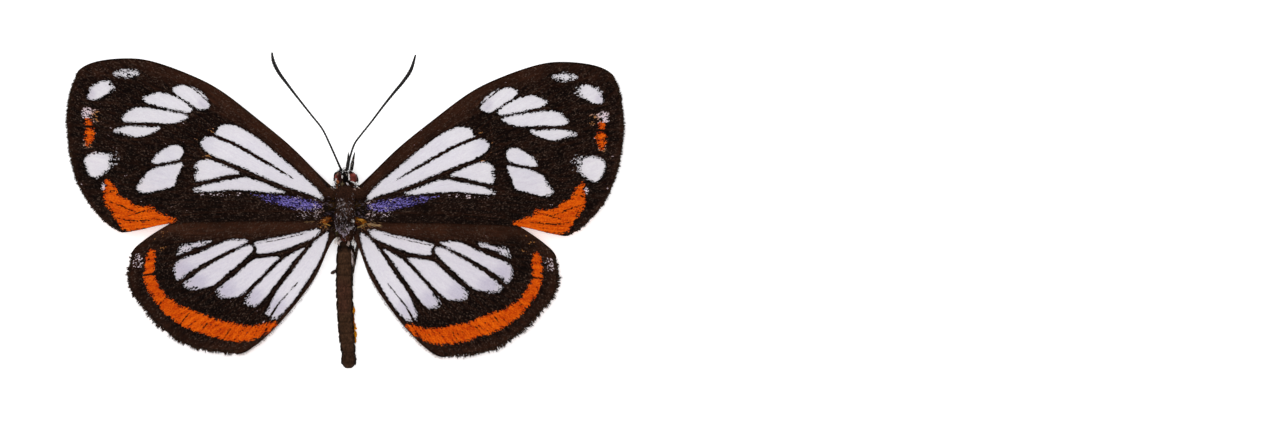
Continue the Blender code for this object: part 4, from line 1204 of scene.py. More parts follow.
def thicken_wing(piece, settings, u, ridge):
    """Give a flat wing its thickness: more at the root and along the veins."""
    swell = WING_ROOT_SWELL * MM
    half_most = settings.membrane / 2 + swell + settings.vein_relief
    half = settings.membrane / 2 + swell * (1 - u) ** 3 + settings.vein_relief * ridge
    group = piece.vertex_groups.new(name="thickness")
    for index, weight in enumerate(half / half_most):
        group.add([index], weight, "REPLACE")
    solid = piece.modifiers.new("wing thickness", "SOLIDIFY")
    solid.thickness = 2 * half_most
    solid.offset = 0.0
    solid.vertex_group = "thickness"
    select_only(piece)
    bpy.ops.object.modifier_apply(modifier="wing thickness")
    piece.vertex_groups.clear()
    bpy.ops.object.shade_smooth_by_angle(angle=math.radians(50))


def pattern_wing(piece, kind, x, y):
    """Store a wing's patterns, first for the side that holds the first half of its points."""
    above = get_normals(piece)[:len(x), 2].mean() > 0
    upper, under = kind["upper"](x, y), kind["under"](x, y)
    for layer in upper:
        sides = [upper[layer], under[layer]] if above else [under[layer], upper[layer]]
        set_attribute(piece, layer, np.vstack(sides))
    hub_x, hub_y = kind["hub"]
    flow = np.stack([np.hypot(x - hub_x, y - hub_y), np.arctan2(y - hub_y, hub_x - x), 0 * x], 1)
    set_attribute(piece, "flow", np.vstack([flow, flow]))


def make_wing(name, kind, side, settings, materials):
    """Make one wing: a thin, veined sheet with scales on both sides."""
    piece, u, v = add_grid(name, *kind["cells"])
    x, y = wing_net(kind, u, v)
    x = x + ROOT_REACH * (1 - u) ** 24
    veins = vein_gap_field(x, y, kind["veins"])
    sag = CELL_SAG * np.clip(veins / 0.8, 0.0, 1.0) ** 0.5
    z = wing_level(x, kind["z"]) - sag * (1 - (1 - u) ** 4)
    place_x, place_y = (x, y) if side < 0 else set_right(x, y, kind["right_set"])
    set_points(piece, place_x, place_y, z)
    if get_normals(piece)[:, 2].mean() < 0:
        piece.data.flip_normals()
    thicken_wing(piece, settings, u, np.exp(-(veins / VEIN_WIDTH) ** 2))
    pattern_wing(piece, kind, x, y)
    for material in materials:
        piece.data.materials.append(material)
    faces = np.empty(len(piece.data.polygons) * 3, np.float32)
    piece.data.polygons.foreach_get("normal", faces)
    under_faces = (faces.reshape(-1, 3)[:, 2] < 0).astype(np.int32)
    piece.data.polygons.foreach_set("material_index", under_faces)
    finish_piece(piece, [name])


class BUTTERFLY_OT_wings(bpy.types.Operator):
    """Build the four scaled wings"""

    bl_idname = "butterfly.wings"
    bl_label = "Wings"

    def execute(self, context):
        settings = context.scene.butterfly_wings
        for kind_name, kind in WINGS.items():
            for side_name, side in SIDES:
                materials = [
                    wing_material(
                        f"{kind_name} {side_name} scales, {face} side", settings,
                        side * kind["scale_turn"], kind["streak_turns"], palette,
                    )
                    for face, palette in zip(("upper", "under"), wing_palettes(settings))
                ]
                make_wing(f"{kind_name}_{side_name}", kind, side, settings, materials)
        return {"FINISHED"}


def hair_material(name, roughness):
    """Hair scales: fine, matt bristles, coloured one by one and blotched from hair to hair."""
    material, tree, shader, place = new_material(name, roughness, 0.03)
    blotch = add_node(tree, "ShaderNodeTexNoise", {
        "Vector": place, "Scale": 1 / (0.15 * MM), "Detail": 2.0,
    })
    shade = add_node(tree, "ShaderNodeMapRange", {
        "Value": blotch.outputs["Fac"], "From Min": 0.3, "From Max": 0.7, "To Min": 0.75, "To Max": 1.2,
    })
    tree.links.new(tinted(tree, shade).outputs[MIX_RESULT], shader.inputs["Base Color"])
    return material


def hair_points(roots, leads, lengths, widths, droop, flat):
    """Points of bent, tapering spikes: a root triangle, a middle triangle and a tip for each."""
    leads = leads / np.linalg.norm(leads, axis=1, keepdims=True)
    up = np.where(np.abs(leads[:, 2:3]) > 0.9, [[0.0, 1.0, 0.0]], [[0.0, 0.0, 1.0]])
    side = np.cross(leads, up)
    side /= np.linalg.norm(side, axis=1, keepdims=True)
    rise = np.cross(side, leads)
    length, width = lengths[:, None], widths[:, None]
    fall = np.array([[0.0, 0.0, -droop]])
    points = []
    for share, swell in ((0.0, 0.8), (0.5, 1.0)):
        middle = roots + leads * length * share + fall * length * share**2
        for turn in (0.0, 2.094, 4.189):
            across = math.cos(turn) * side + flat * math.sin(turn) * rise
            points.append(middle + width * swell * 0.5 * across)
    points.append(roots + leads * length + fall * length)
    points = np.stack(points, 1)
    points[:, :, 2] = np.maximum(points[:, :, 2], 0.005)
    return points


def make_hairs(name, roots, leads, lengths, widths, droop, colours, material, flat=0.45):
    """Make one mesh of closed spikes, one for each root point, in millimetres."""
    points = hair_points(roots, leads, lengths, widths, droop, flat)
    each = [
        (0, 2, 1), (0, 1, 4, 3), (1, 2, 5, 4), (2, 0, 3, 5), (3, 4, 6), (4, 5, 6), (5, 3, 6),
    ]
    count = len(roots)
    faces = [tuple(7 * number + corner for corner in face) for number in range(count) for face in each]
    mesh = bpy.data.meshes.new(name)
    mesh.from_pydata((points.reshape(-1, 3) * MM).tolist(), [], faces)
    piece = bpy.data.objects.new(name, mesh)
    bpy.context.scene.collection.objects.link(piece)
    tint = np.ones((count, 7, 4))
    tint[:, :, :3] = colours[:, None, :]
    # Painted shade: the root triangle of each hair is darker, as among the other hairs.
    tint[:, :3, :3] *= 0.7
    set_attribute(piece, "tint", tint.reshape(-1, 4), "FLOAT_COLOR")
    mesh.materials.append(material)
    merge_and_orient(piece)
    return piece


def fringe_run(kind, line, step, inset):
    """Roots and outward directions in plan along one run of a wing's edge, and the way along it."""
    length = way_along(line)[-1]
    fractions = np.arange(0.0, 1.0, step / length)
    places = along_line(line, fractions)
    before, after = (np.clip(fractions + offset, 0, 1) for offset in (-0.004, 0.004))
    ahead = along_line(line, after) - along_line(line, before)
    outward = np.stack([ahead[:, 1], -ahead[:, 0]], 1)
    flip = np.sign(np.sum(outward * (places - kind["middle"]), axis=1, keepdims=True))
    outward = outward * flip / np.linalg.norm(outward, axis=1, keepdims=True)
    return places - outward * inset, outward, fractions * length


def outer_fringe(kind, line, settings, rng):
    """Places, directions, lengths, widths and colours of the outer edge's hair scales, in saw teeth."""
    places, leads, way = fringe_run(kind, line, OUTER_STEP, kind["inset"] + 0.12)
    stretches = np.arange(0.0, 60.0, WORN_STRETCH)
    worn = np.interp(way, stretches, rng.uniform(-1.0, 1.0, len(stretches)))
    tooth = (way / TOOTH_WIDTH).astype(int)
    fine = rng.uniform(-1.0, 1.0, tooth.max() + 1)[tooth]
    lengths = kind["inset"] + 0.14 + kind["tooth"] * (0.35 * worn + 0.6 * fine)
    lengths = lengths * rng.uniform(0.8, 1.1, len(way))
    colours = np.array(settings.fringe) * rng.uniform(0.2, 1.5, (len(way), 1))
    return places, leads, lengths, rng.uniform(0.055, 0.085, len(way)), colours


def rear_fringe(kind, line, settings, rng):
    """The same for the rear edge: short hair scales, longer and paler behind a hindwing."""
    places, leads, way = fringe_run(kind, line, REAR_STEP, 0.03)
    soft = smooth_between(2.0, 6.0, way) * kind["soft_rear"]
    lengths = (0.07 + 0.2 * soft) * rng.uniform(0.5, 1.3, len(way))
    pale, dark = np.array(from_hex("#8a6a52")), np.array(settings.ground) * 1.5
    colours = dark + (pale - dark) * (soft * rng.uniform(0.0, 0.9, len(way)))[:, None]
    return places, leads, lengths, rng.uniform(0.03, 0.05, len(way)), colours


def make_fringe(name, kind, side, settings, material, seed):
    """Make the fringe of one wing along its outer and rear edges."""
    rng = np.random.default_rng(seed)
    outer, rear = wing_runs(kind)[1:]
    runs = (outer_fringe(kind, outer, settings, rng), rear_fringe(kind, rear, settings, rng))
    roots, outward, lengths, widths, colours = (np.concatenate(values) for values in zip(*runs))
    outward = outward + rng.normal(0.0, 0.12, outward.shape)
    level = wing_level(roots[:, 0], kind["z"]) + rng.uniform(-0.03, 0.03, len(roots))
    tips = roots + outward * 0.1
    if side > 0:
        roots, tips = (np.stack(set_right(*ends.T, kind["right_set"]), 1) for ends in (roots, tips))
    leads = np.column_stack([tips - roots, rng.normal(0.0, 0.006, len(roots))])
    roots = np.column_stack([roots, level])
    return make_hairs(name, roots, leads, lengths, widths, 0.04, colours, material, flat=0.35)


class BUTTERFLY_OT_fringes(bpy.types.Operator):
    """Build the fringe along the edge of each wing"""

    bl_idname = "butterfly.fringes"
    bl_label = "Wing fringes"

    def execute(self, context):
        settings = context.scene.butterfly_wings
        material = hair_material("fringe hair scales", 0.7)
        seed = FRINGE_SEED
        for kind_name, kind in WINGS.items():
            for side_name, side in SIDES:
                name = f"fringe_{kind_name}_{side_name}"
                finish_piece(make_fringe(name, kind, side, settings, material, seed))
                seed += 1
        return {"FINISHED"}


def station_at(stations, y):
    """Middle x, half width, bottom and top of a body at y, along a smooth line through its stations."""
    line = catmull(stations, 6)[::-1]
    return [np.interp(y, line[:, 0], line[:, column]) for column in (1, 2, 3, 4)]


def section(turn, powers):
    """Sideways and upward place on a rounded section, at a turn round it."""
    across, up = np.cos(turn), np.sin(turn)
    power = np.where(up > 0, powers[1], powers[0])
    reach = (np.abs(across) ** power + np.abs(up) ** power) ** (-1 / power)
    return reach * across, reach * up


def body_point(stations, y, turn, powers):
    """Points and outward directions on a body at y and at a turn round it, 0 at the right side."""
    middle, width, bottom, top = station_at(stations, y)
    half = 0.5 * (top - bottom)
    sideways, upward = section(turn, powers)
    x = middle + width * sideways
    z = 0.5 * (bottom + top) + half * upward
    width, half = np.maximum(width, 0.05), np.maximum(half, 0.05)
    lead = np.stack([np.cos(turn) / width, 0 * y, np.sin(turn) / half], 1)
    return x, np.maximum(z, 0.0), lead / np.linalg.norm(lead, axis=1, keepdims=True)


def joint_gap(y):
    """Distance along the abdomen to the nearest joint between two rings."""
    return np.min(np.abs(y[:, None] - np.array(ABDOMEN_RING_ENDS)[None, :]), axis=1)


def ring_swell(y):
    """Swell of the abdomen between ring joints, dipping where two rings meet."""
    within = (y < ABDOMEN_RING_ENDS[0]) & (y > ABDOMEN_RING_ENDS[-1])
    return np.where(within, ABDOMEN_RING_DIP * (1 - 2.2 * np.exp(-(joint_gap(y) / 0.11) ** 2)), 0.0)


def body_material(name):
    """Body scales: small overlapping matt scales, each a little lighter or darker."""
    material, tree, shader, place = new_material(name, 0.8, 0.04)
    rows = add_node(tree, "ShaderNodeMapping", {
        "Vector": place, "Scale": (1 / (0.07 * MM), 1 / (0.13 * MM), 1 / (0.07 * MM)),
    })
    scales = add_node(tree, "ShaderNodeTexVoronoi", {"Vector": rows, "Scale": 1.0})
    shades = add_node(tree, "ShaderNodeSeparateColor", {"Color": scales.outputs["Color"]})
    shade = add_node(tree, "ShaderNodeMapRange", {
        "Value": shades.outputs[0], "To Min": 0.55, "To Max": 1.45,
    })
    bump = add_node(tree, "ShaderNodeBump", {
        "Height": scales.outputs["Distance"], "Strength": 0.5, "Distance": 0.02 * MM,
    }, invert=True)
    tree.links.new(tinted(tree, shade).outputs[MIX_RESULT], shader.inputs["Base Color"])
    tree.links.new(bump.outputs[0], shader.inputs["Normal"])
    return material


def paint_piece(piece, colours):
    """Store one linear colour on each point."""
    tint = np.ones((len(piece.data.vertices), 4))
    tint[:, :3] = colours
    set_attribute(piece, "tint", tint, "FLOAT_COLOR")


def make_rolled_body(name, stations, cells, powers, swell=None):
    """Roll a grid into a closed body along its stations."""
    piece, u, v = add_grid(name, *cells)
    line = catmull(stations, 6)
    way = way_along(line)
    y, middle, width, bottom, top = [np.interp(u * way[-1], way, column) for column in line.T]
    if swell is not None:
        extra = swell(y)
        width, bottom, top = width + extra, bottom - extra, top + extra
    sideways, upward = section(2 * math.pi * v, powers)
    ends = (u <= 0) | (u >= 1)
    width, half = np.where(ends, 0.0, width), np.where(ends, 0.0, 0.5 * (top - bottom))
    z = 0.5 * (bottom + top) + half * upward
    set_points(piece, middle + width * sideways, y, np.maximum(z, 0.0))
    merge_and_orient(piece)
    return piece


def finish_body(piece, name, colours):
    """Colour a part of the body, give it its scales and put it in the frame."""
    paint_piece(piece, colours)
    piece.data.materials.append(body_material(f"{name} scales"))
    finish_piece(piece, [name])


def patch_colours(x, y, patches, base, rng):
    """Colour of each hair or point: the base, or that of a patch that it lies in."""
    colours = np.tile(np.array(base, float), (len(x), 1))
    for patch_x, patch_y, radius, text, share in patches:
        inside = np.clip(1.8 * (1 - np.hypot(x - patch_x, y - patch_y) / radius), 0.0, 1.0)
        chosen = rng.uniform(0.0, 1.0, len(x)) < share * inside
        colours[chosen] = from_hex(text)
    return colours * rng.uniform(0.6, 1.35, (len(x), 1))


def thorax_colours(x, y, z, settings, rng):
    """Colours on the thorax: one set of patches for its back and one for its under side."""
    back = patch_colours(x, y, BACK_PATCHES, settings.skin, rng)
    belly = patch_colours(x, y, BELLY_PATCHES, settings.leg, rng)
    return np.where(z[:, None] > THORAX_BACK_Z, back, belly)


class BUTTERFLY_OT_thorax(bpy.types.Operator):
    """Build the thorax"""

    bl_idname = "butterfly.thorax"
    bl_label = "Thorax"

    def execute(self, context):
        settings = context.scene.butterfly_body
        piece = make_rolled_body("thorax", THORAX_STATIONS, (90, 72), THORAX_POWERS)
        points = get_points(piece) / MM
        rng = np.random.default_rng(THORAX_SEED)
        finish_body(piece, "thorax", thorax_colours(*points.T, settings, rng))
        return {"FINISHED"}


def abdomen_tip(x, y, across, under, colours):
    """Paint the abdomen's tip: a mottled brown underside behind a notch, with a dark outline along the
    notch and painted shade along its sides.
    """
    notch = np.abs(x - 0.2) - 0.85 * (y + 12.1)
    tip = (smooth_between(0.0, 0.1, notch) * smooth_between(11.4, 11.6, -y))[:, None] * under
    mottle = (0.75 + 0.35 * np.sin(9 * x + 5 * y) * np.sin(13 * y - 6 * x))[:, None]
    colours = colours + (np.array(from_hex("#8a623c")) * mottle - colours) * 0.9 * tip
    outline = np.exp(-(notch / 0.09) ** 2) * smooth_between(11.3, 11.5, -y) * (-y < 12.3)
    side_shade = smooth_between(0.74, 0.9, np.abs(across)) * smooth_between(11.2, 11.8, -y)
    colours = colours * (1 - 0.85 * np.maximum(outline, side_shade)[:, None] * under)
    end = smooth_between(11.3, 12.0, -y)[:, None] * (1 - under)
    return colours * (1 - 0.3 * end)


def abdomen_colours(x, y, z, settings):
    """Colours round the abdomen: dark brown back with painted shade towards its flanks, cream belly and
    orange side stripes.
    """
    middle, width, bottom, top = station_at(ABDOMEN_STATIONS, y)
    across = (x - middle) / np.maximum(width, 0.05)
    height = (z - bottom) / np.maximum(top - bottom, 0.1)
    skin, belly, stripe = (np.array(c) for c in (settings.abdomen, settings.belly, settings.stripe))
    under = (1 - smooth_between(0.35, 0.5, height))[:, None]
    # Painted shade: the back is made darker towards its flanks, where it rounds away.
    flank_shade = smooth_between(0.72, 0.95, np.abs(across))[:, None]
    joint = np.exp(-(joint_gap(y) / 0.06) ** 2)[:, None]
    back = skin * (1 - 0.75 * flank_shade) * (1 - 0.25 * joint)
    red = spot_field(x, y, [(-0.3, -6.6, 1.2, 0.5), (-0.2, -7.8, 0.9, 0.5)])[:, None]
    back = back + (np.array(from_hex("#46281f")) - back) * red * (1 - flank_shade)
    back = back * (1 - 0.7 * smooth_between(-3.6, -2.9, y)[:, None])
    colours = back + (belly - back) * under
    left = smooth_between(4.3, 4.9, -y) * (1 - smooth_between(10.2, 10.7, -y))
    right = smooth_between(7.7, 8.1, -y) * (1 - smooth_between(10.7, 11.1, -y))
    bands = (
        (across < 0, 0.26, 0.14, left, stripe),
        (across < 0, 0.1, 0.035, left, skin),
        (across > 0, 0.22, 0.09, smooth_between(5.5, 6.2, -y), 0.3 * skin),
        (across > 0, 0.5, 0.07, right, stripe),
    )
    for on_side, level, spread, share, colour in bands:
        cover = (on_side * share * np.exp(-((height - level) / spread) ** 2))[:, None]
        colours = colours + (colour - colours) * cover
    return abdomen_tip(x, y, across, under, colours)


class BUTTERFLY_OT_abdomen(bpy.types.Operator):
    """Build the ringed abdomen"""

    bl_idname = "butterfly.abdomen"
    bl_label = "Abdomen"

    def execute(self, context):
        settings = context.scene.butterfly_body
        piece = make_rolled_body("abdomen", ABDOMEN_STATIONS, (240, 64), ABDOMEN_POWERS, ring_swell)
        points = get_points(piece) / MM
        finish_body(piece, "abdomen", abdomen_colours(*points.T, settings))
        return {"FINISHED"}


def head_roll():
    """Matrix that rolls the head about its middle, in millimetres."""
    middle = Vector(HEAD_MIDDLE)
    roll = Euler((0.0, math.radians(HEAD_ROLL_DEG), 0.0)).to_matrix().to_4x4()
    return Matrix.Translation(middle) @ roll @ Matrix.Translation(-middle)


def rolled(points):
    """Points of the head after its roll."""
    matrix = np.array(head_roll())
    return points @ matrix[:3, :3].T + matrix[:3, 3]


class BUTTERFLY_OT_head(bpy.types.Operator):
    """Build the head between the eyes"""

    bl_idname = "butterfly.head"
    bl_label = "Head"

    def execute(self, context):
        settings = context.scene.butterfly_body
        piece, u, v = add_grid("head", 48, 48)
        lift, turn = math.pi * u, 2 * math.pi * v
        ball = np.stack([np.sin(lift) * np.cos(turn), np.sin(lift) * np.sin(turn), np.cos(lift)], 1)
        points = rolled(ball * HEAD_RADII + HEAD_MIDDLE)
        set_points(piece, *points.T)
        merge_and_orient(piece)
        x, y = (get_points(piece) / MM)[:, :2].T
        rng = np.random.default_rng(HEAD_SEED)
        finish_body(piece, "head", patch_colours(x, y, HEAD_PATCHES, settings.skin, rng))
        return {"FINISHED"}


def eye_material(settings):
    """Compound eye: smooth, glossy horn with fine facets, dark red brown and cloudy in the middle."""
    material, tree, shader, place = new_material("compound eye", 0.35, 0.12)
    facets = add_node(tree, "ShaderNodeTexVoronoi", {"Vector": place, "Scale": 1 / (0.035 * MM)})
    cloud = add_node(tree, "ShaderNodeTexNoise", {
        "Vector": place, "Scale": 1 / (0.35 * MM), "Detail": 2.0,
    })
    depth = add_node(tree, "ShaderNodeMapRange", {
        "Value": cloud.outputs["Fac"], "From Min": 0.4, "From Max": 0.65,
    })
    dark = [0.35 * value for value in settings.eye]
    colour = add_node(tree, "ShaderNodeMix", {
        MIX_FACTOR: depth, MIX_A: with_alpha(dark), MIX_B: with_alpha(settings.eye),
    }, data_type="RGBA")
    bump = add_node(tree, "ShaderNodeBump", {
        "Height": facets, "Strength": 0.3, "Distance": 0.01 * MM,
    }, invert=True)
    colour = tinted(tree, colour.outputs[MIX_RESULT])
    tree.links.new(colour.outputs[MIX_RESULT], shader.inputs["Base Color"])
    tree.links.new(bump.outputs[0], shader.inputs["Normal"])
    shader.inputs["IOR"].default_value = 1.45
    return material


def eye_points(side, u, v):
    """Points of an eye: a flat disc at its base, then a dome outwards."""
    rim = 0.2
    dome = np.clip((u - rim) / (1 - rim), 0.0, 1.0) * 0.5 * math.pi
    size = np.where(u < rim, u / rim, np.cos(dome))
    turn = 2 * math.pi * v
    return rolled(np.stack([
        HEAD_MIDDLE[0] + side * (EYE_BASE_X + EYE_DEPTH * np.sin(dome)),
        HEAD_MIDDLE[1] + EYE_RADIUS_Y * size * np.cos(turn),
        HEAD_MIDDLE[2] + EYE_RADIUS_Z * size * np.sin(turn),
    ], 1))


def eye_painted_shade(x, y, z):
    """Painted shade on an eye: lighter in the middle of its upper side, darker towards its rim and its
    lower side.
    """
    from_middle = np.hypot(np.abs(x - HEAD_MIDDLE[0]) - 0.62, 0.8 * (y - HEAD_MIDDLE[1]))
    inner = 1 - smooth_between(0.2, 0.5, from_middle)
    above = smooth_between(1.2, 1.9, z)
    return ((0.3 + 0.7 * inner) * (0.3 + 0.7 * above))[:, None]


class BUTTERFLY_OT_eyes(bpy.types.Operator):
    """Build the two compound eyes"""

    bl_idname = "butterfly.eyes"
    bl_label = "Eyes"

    def execute(self, context):
        settings = context.scene.butterfly_body
        material = eye_material(settings)
        for side_name, side in SIDES:
            name = f"eye_{side_name}"
            piece, u, v = add_grid(name, 40, 48)
            set_points(piece, *eye_points(side, u, v).T)
            merge_and_orient(piece)
            # The eye's tint is painted shade.
            paint_piece(piece, eye_painted_shade(*(get_points(piece) / MM).T))
            piece.data.materials.append(material)
            finish_piece(piece, [name])
        return {"FINISHED"}


def make_limb(name, route, cells, thicken):
    """Roll a grid into a closed tube along a route; thicken gives the radius factor along it."""
    piece, u, v = add_grid(name, *cells)
    line = catmull(route, 16)
    way = way_along(line[:, :3])
    at = u * way[-1]
    middle = np.stack([np.interp(at, way, column) for column in line[:, :3].T], 1)
    tangent = np.gradient(line[:, :3], way, axis=0)
    forward = np.stack([np.interp(at, way, column) for column in tangent.T], 1)
    forward /= np.linalg.norm(forward, axis=1, keepdims=True)
    sideways = np.cross(forward, [0.0, 0.0, 1.0])
    sideways /= np.linalg.norm(sideways, axis=1, keepdims=True)
    upward = np.cross(sideways, forward)
    radius = np.interp(at, way, line[:, 3]) * thicken(at)
    from_end = np.minimum(at, way[-1] - at) / np.maximum(radius, 0.01)
    radius = radius * np.sqrt(np.clip(1 - (1 - np.clip(from_end, 0, 1)) ** 2, 0.0, 1.0))
    turn = 2 * math.pi * v[:, None]
    points = middle + radius[:, None] * (np.cos(turn) * sideways + np.sin(turn) * upward)
    set_points(piece, *points.T)
    merge_and_orient(piece)
    return piece


def make_limbs(names, cells, thicken, material):
    """Make and finish limbs that share one build and one material."""
    for name in names:
        piece = make_limb(name, LIMB_ROUTES[name], cells, thicken)
        piece.data.materials.append(material)
        finish_piece(piece, [name])


def horn_material(name, colour, pale, share):
    """Horn under sparse scales: dark, slightly glossy chitin with some pale scales on it."""
    material, tree, shader, place = new_material(name, 0.6, 0.2)
    scales = add_node(tree, "ShaderNodeTexVoronoi", {"Vector": place, "Scale": 1 / (0.06 * MM)})
    shades = add_node(tree, "ShaderNodeSeparateColor", {"Color": scales.outputs["Color"]})
    chosen = add_node(tree, "ShaderNodeMapRange", {
        "Value": shades.outputs[0], "From Min": 1 - share - 0.05, "From Max": 1 - share,
    })
    paint = add_node(tree, "ShaderNodeMix", {
        MIX_FACTOR: chosen, MIX_A: with_alpha(colour), MIX_B: with_alpha(from_hex(pale)),
    }, data_type="RGBA")
    bump = add_node(tree, "ShaderNodeBump", {
        "Height": scales, "Strength": 0.4, "Distance": 0.015 * MM,
    }, invert=True)
    tree.links.new(paint.outputs[MIX_RESULT], shader.inputs["Base Color"])
    tree.links.new(bump.outputs[0], shader.inputs["Normal"])
    return material


def antenna_rings(at):
    """Radius factor of an antenna: short rings, under a coat of scales."""
    return 1.55 + 0.12 * np.cos(2 * math.pi * at / 0.24)


class BUTTERFLY_OT_antennae(bpy.types.Operator):
    """Build the two clubbed antennae"""

    bl_idname = "butterfly.antennae"
    bl_label = "Antennae"

    def execute(self, context):
        settings = context.scene.butterfly_body
        material = horn_material("antenna horn", settings.horn, "#2a201c", 0.08)
        names = ("antenna_left", "antenna_right")
        make_limbs(names, (420, 14), antenna_rings, material)
        return {"FINISHED"}


def palp_rings(at):
    """Radius factor of a palp: three soft swellings under its scales."""
    return 1.25 + 0.08 * np.cos(2 * math.pi * at / 0.6)


class BUTTERFLY_OT_palps(bpy.types.Operator):
    """Build the two palps"""

    bl_idname = "butterfly.palps"
    bl_label = "Palps"

    def execute(self, context):
        settings = context.scene.butterfly_body
        material = horn_material("palp scales", settings.horn, "#a89c94", 0.06)
        names = ("palp_left", "palp_right")
        make_limbs(names, (80, 20), palp_rings, material)
        return {"FINISHED"}


def leg_joints(at):
    """Radius factor of a leg: swollen femur and shin, drawn in at the joints, beaded foot."""
    femur_end, shin_end = 2.1, 4.0
    joint = np.exp(-((at - femur_end) / 0.09) ** 2) + np.exp(-((at - shin_end) / 0.08) ** 2)
    foot = smooth_between(shin_end, shin_end + 0.2, at)
    beads = 0.12 * np.cos(2 * math.pi * at / 0.45)
    return 1.12 - 0.3 * joint + foot * (beads - 0.1)


class BUTTERFLY_OT_legs(bpy.types.Operator):
    """Build the four folded legs"""

    bl_idname = "butterfly.legs"
    bl_label = "Legs"

    def execute(self, context):
        settings = context.scene.butterfly_body
        material = horn_material("leg scales", settings.leg, "#8a7260", 0.06)
        names = ("midleg_left", "midleg_right", "hindleg_left", "hindleg_right")
        make_limbs(names, (220, 20), leg_joints, material)
        return {"FINISHED"}


def coat_roots(stations, powers, count, front, rear, rng):
    """Random places on a body between two y values, with outward directions."""
    y = rng.uniform(rear, front, count)
    turn = rng.uniform(0.0, 2 * math.pi, count)
    x, z, lead = body_point(stations, y, turn, powers)
    return x, y, z, lead


def lock_hairs(locks, rng):
    """Roots, directions, lengths and colours of all the hairs of some locks."""
    roots, leads, lengths, colours = [], [], [], []
    for start_x, start_y, end_x, end_y, height, spread, number, text in locks:
        ahead = np.array([end_x - start_x, end_y - start_y, 0.0])
        reach = np.linalg.norm(ahead)
        share = rng.uniform(0.0, 0.75, (number, 1))
        scatter = rng.normal(0.0, spread / 2, (number, 3)) * [1.0, 1.0, 0.3]
        roots.append([start_x, start_y, height] + ahead * share + scatter)
        leads.append(ahead / reach + rng.normal(0.0, 0.16, (number, 3)) * [1.0, 1.0, 0.6])
        lengths.append(np.clip(0.4 * reach, 0.12, 0.5) * rng.uniform(0.7, 1.2, number))
        colours.append(np.array(from_hex(text)) * rng.uniform(0.6, 1.25, (number, 1)))
    return np.vstack(roots), np.vstack(leads), np.concatenate(lengths), np.vstack(colours)


def thorax_coat(settings, material, width, rng):
    """Make the thorax's coat of short hairs, some of them broad pale specks on its back."""
    x, y, z, lead = coat_roots(THORAX_STATIONS, THORAX_POWERS, settings.back_hairs, 1.9, -2.45, rng)
    colours = thorax_colours(x, y, z, settings, rng)
    lead = 0.35 * lead + [0.0, -0.8, 0.0] + rng.normal(0.0, 0.4, lead.shape)
    keep = z > 0.25
    lengths = rng.uniform(0.14, 0.32, len(x))
    widths = rng.uniform(0.7, 1.3, len(x)) * width
    speck = (rng.uniform(0.0, 1.0, len(x)) < SPECK_SHARE) & (y < 1.0) & (z > THORAX_BACK_Z)
    lengths[speck] *= 0.45
    widths[speck] *= 1.9
    colours[speck] = np.array(from_hex("#d6ccd2")) * rng.uniform(0.3, 1.2, (speck.sum(), 1))
    roots = np.stack([x, y, z], 1)[keep]
    return make_hairs(
        "coat_thorax", roots, lead[keep], lengths[keep], widths[keep], 0.1, colours[keep], material,
    )


def lock_coat(name, locks, material, width, rng):
    """Make one coat from locks of hair."""
    roots, leads, lengths, colours = lock_hairs(locks, rng)
    widths = rng.uniform(0.7, 1.2, len(roots)) * width
    return make_hairs(name, roots, leads, lengths, widths, 0.12, colours, material)


def abdomen_coat(settings, material, width, rng):
    """Make the abdomen's coat of short, lying scales."""
    x, y, z, lead = coat_roots(ABDOMEN_STATIONS, ABDOMEN_POWERS, ABDOMEN_HAIRS, -2.8, -12.6, rng)
    x, z = x + ring_swell(y) * lead[:, 0], z + ring_swell(y) * lead[:, 2]
    colours = abdomen_colours(x, y, z, settings) * rng.uniform(0.6, 1.3, (len(x), 1))
    lead = 0.15 * lead + [0.0, -1.0, 0.0] + rng.normal(0.0, 0.15, lead.shape)
    keep = z > 0.2
    lengths = rng.uniform(0.12, 0.24, keep.sum())
    widths = rng.uniform(0.8, 1.4, keep.sum()) * width
    roots = np.stack([x, y, z], 1)[keep]
    return make_hairs("coat_abdomen", roots, lead[keep], lengths, widths, 0.05, colours[keep], material)


class BUTTERFLY_OT_coats(bpy.types.Operator):
    """Build the hair of thorax, abdomen, head and wing roots"""

    bl_idname = "butterfly.coats"
    bl_label = "Hair"

    def execute(self, context):
        settings = context.scene.butterfly_body
        material = hair_material("body hair scales", 0.75)
        rng = np.random.default_rng(COAT_SEED)
        width = settings.hair_width / MM
        finish_piece(thorax_coat(settings, material, width, rng))
        for name, locks in LOCK_COATS:
            finish_piece(lock_coat(name, locks, material, width, rng))
        finish_piece(abdomen_coat(settings, material, width, rng))
        return {"FINISHED"}


def card_material(settings):
    """Smooth white card: matt, with a hardly visible fibre."""
    material, tree, shader, place = new_material("white card on a light table", 0.9, 0.1)
    fibre = add_node(tree, "ShaderNodeTexNoise", {
        "Vector": place, "Scale": 1 / (0.8 * MM), "Detail": 3.0,
    })
    shade = add_node(tree, "ShaderNodeMapRange", {
        "Value": fibre.outputs["Fac"], "To Min": 0.985, "To Max": 1.015,
    })
    colour = add_node(tree, "ShaderNodeMix", {
        MIX_FACTOR: 1.0, MIX_A: with_alpha(settings.floor), MIX_B: shade,
    }, data_type="RGBA", blend_type="MULTIPLY")
    tree.links.new(colour.outputs[MIX_RESULT], shader.inputs["Base Color"])
    shader.inputs["Emission Color"].default_value = WHITE
    shader.inputs["Emission Strength"].default_value = settings.glow
    return material


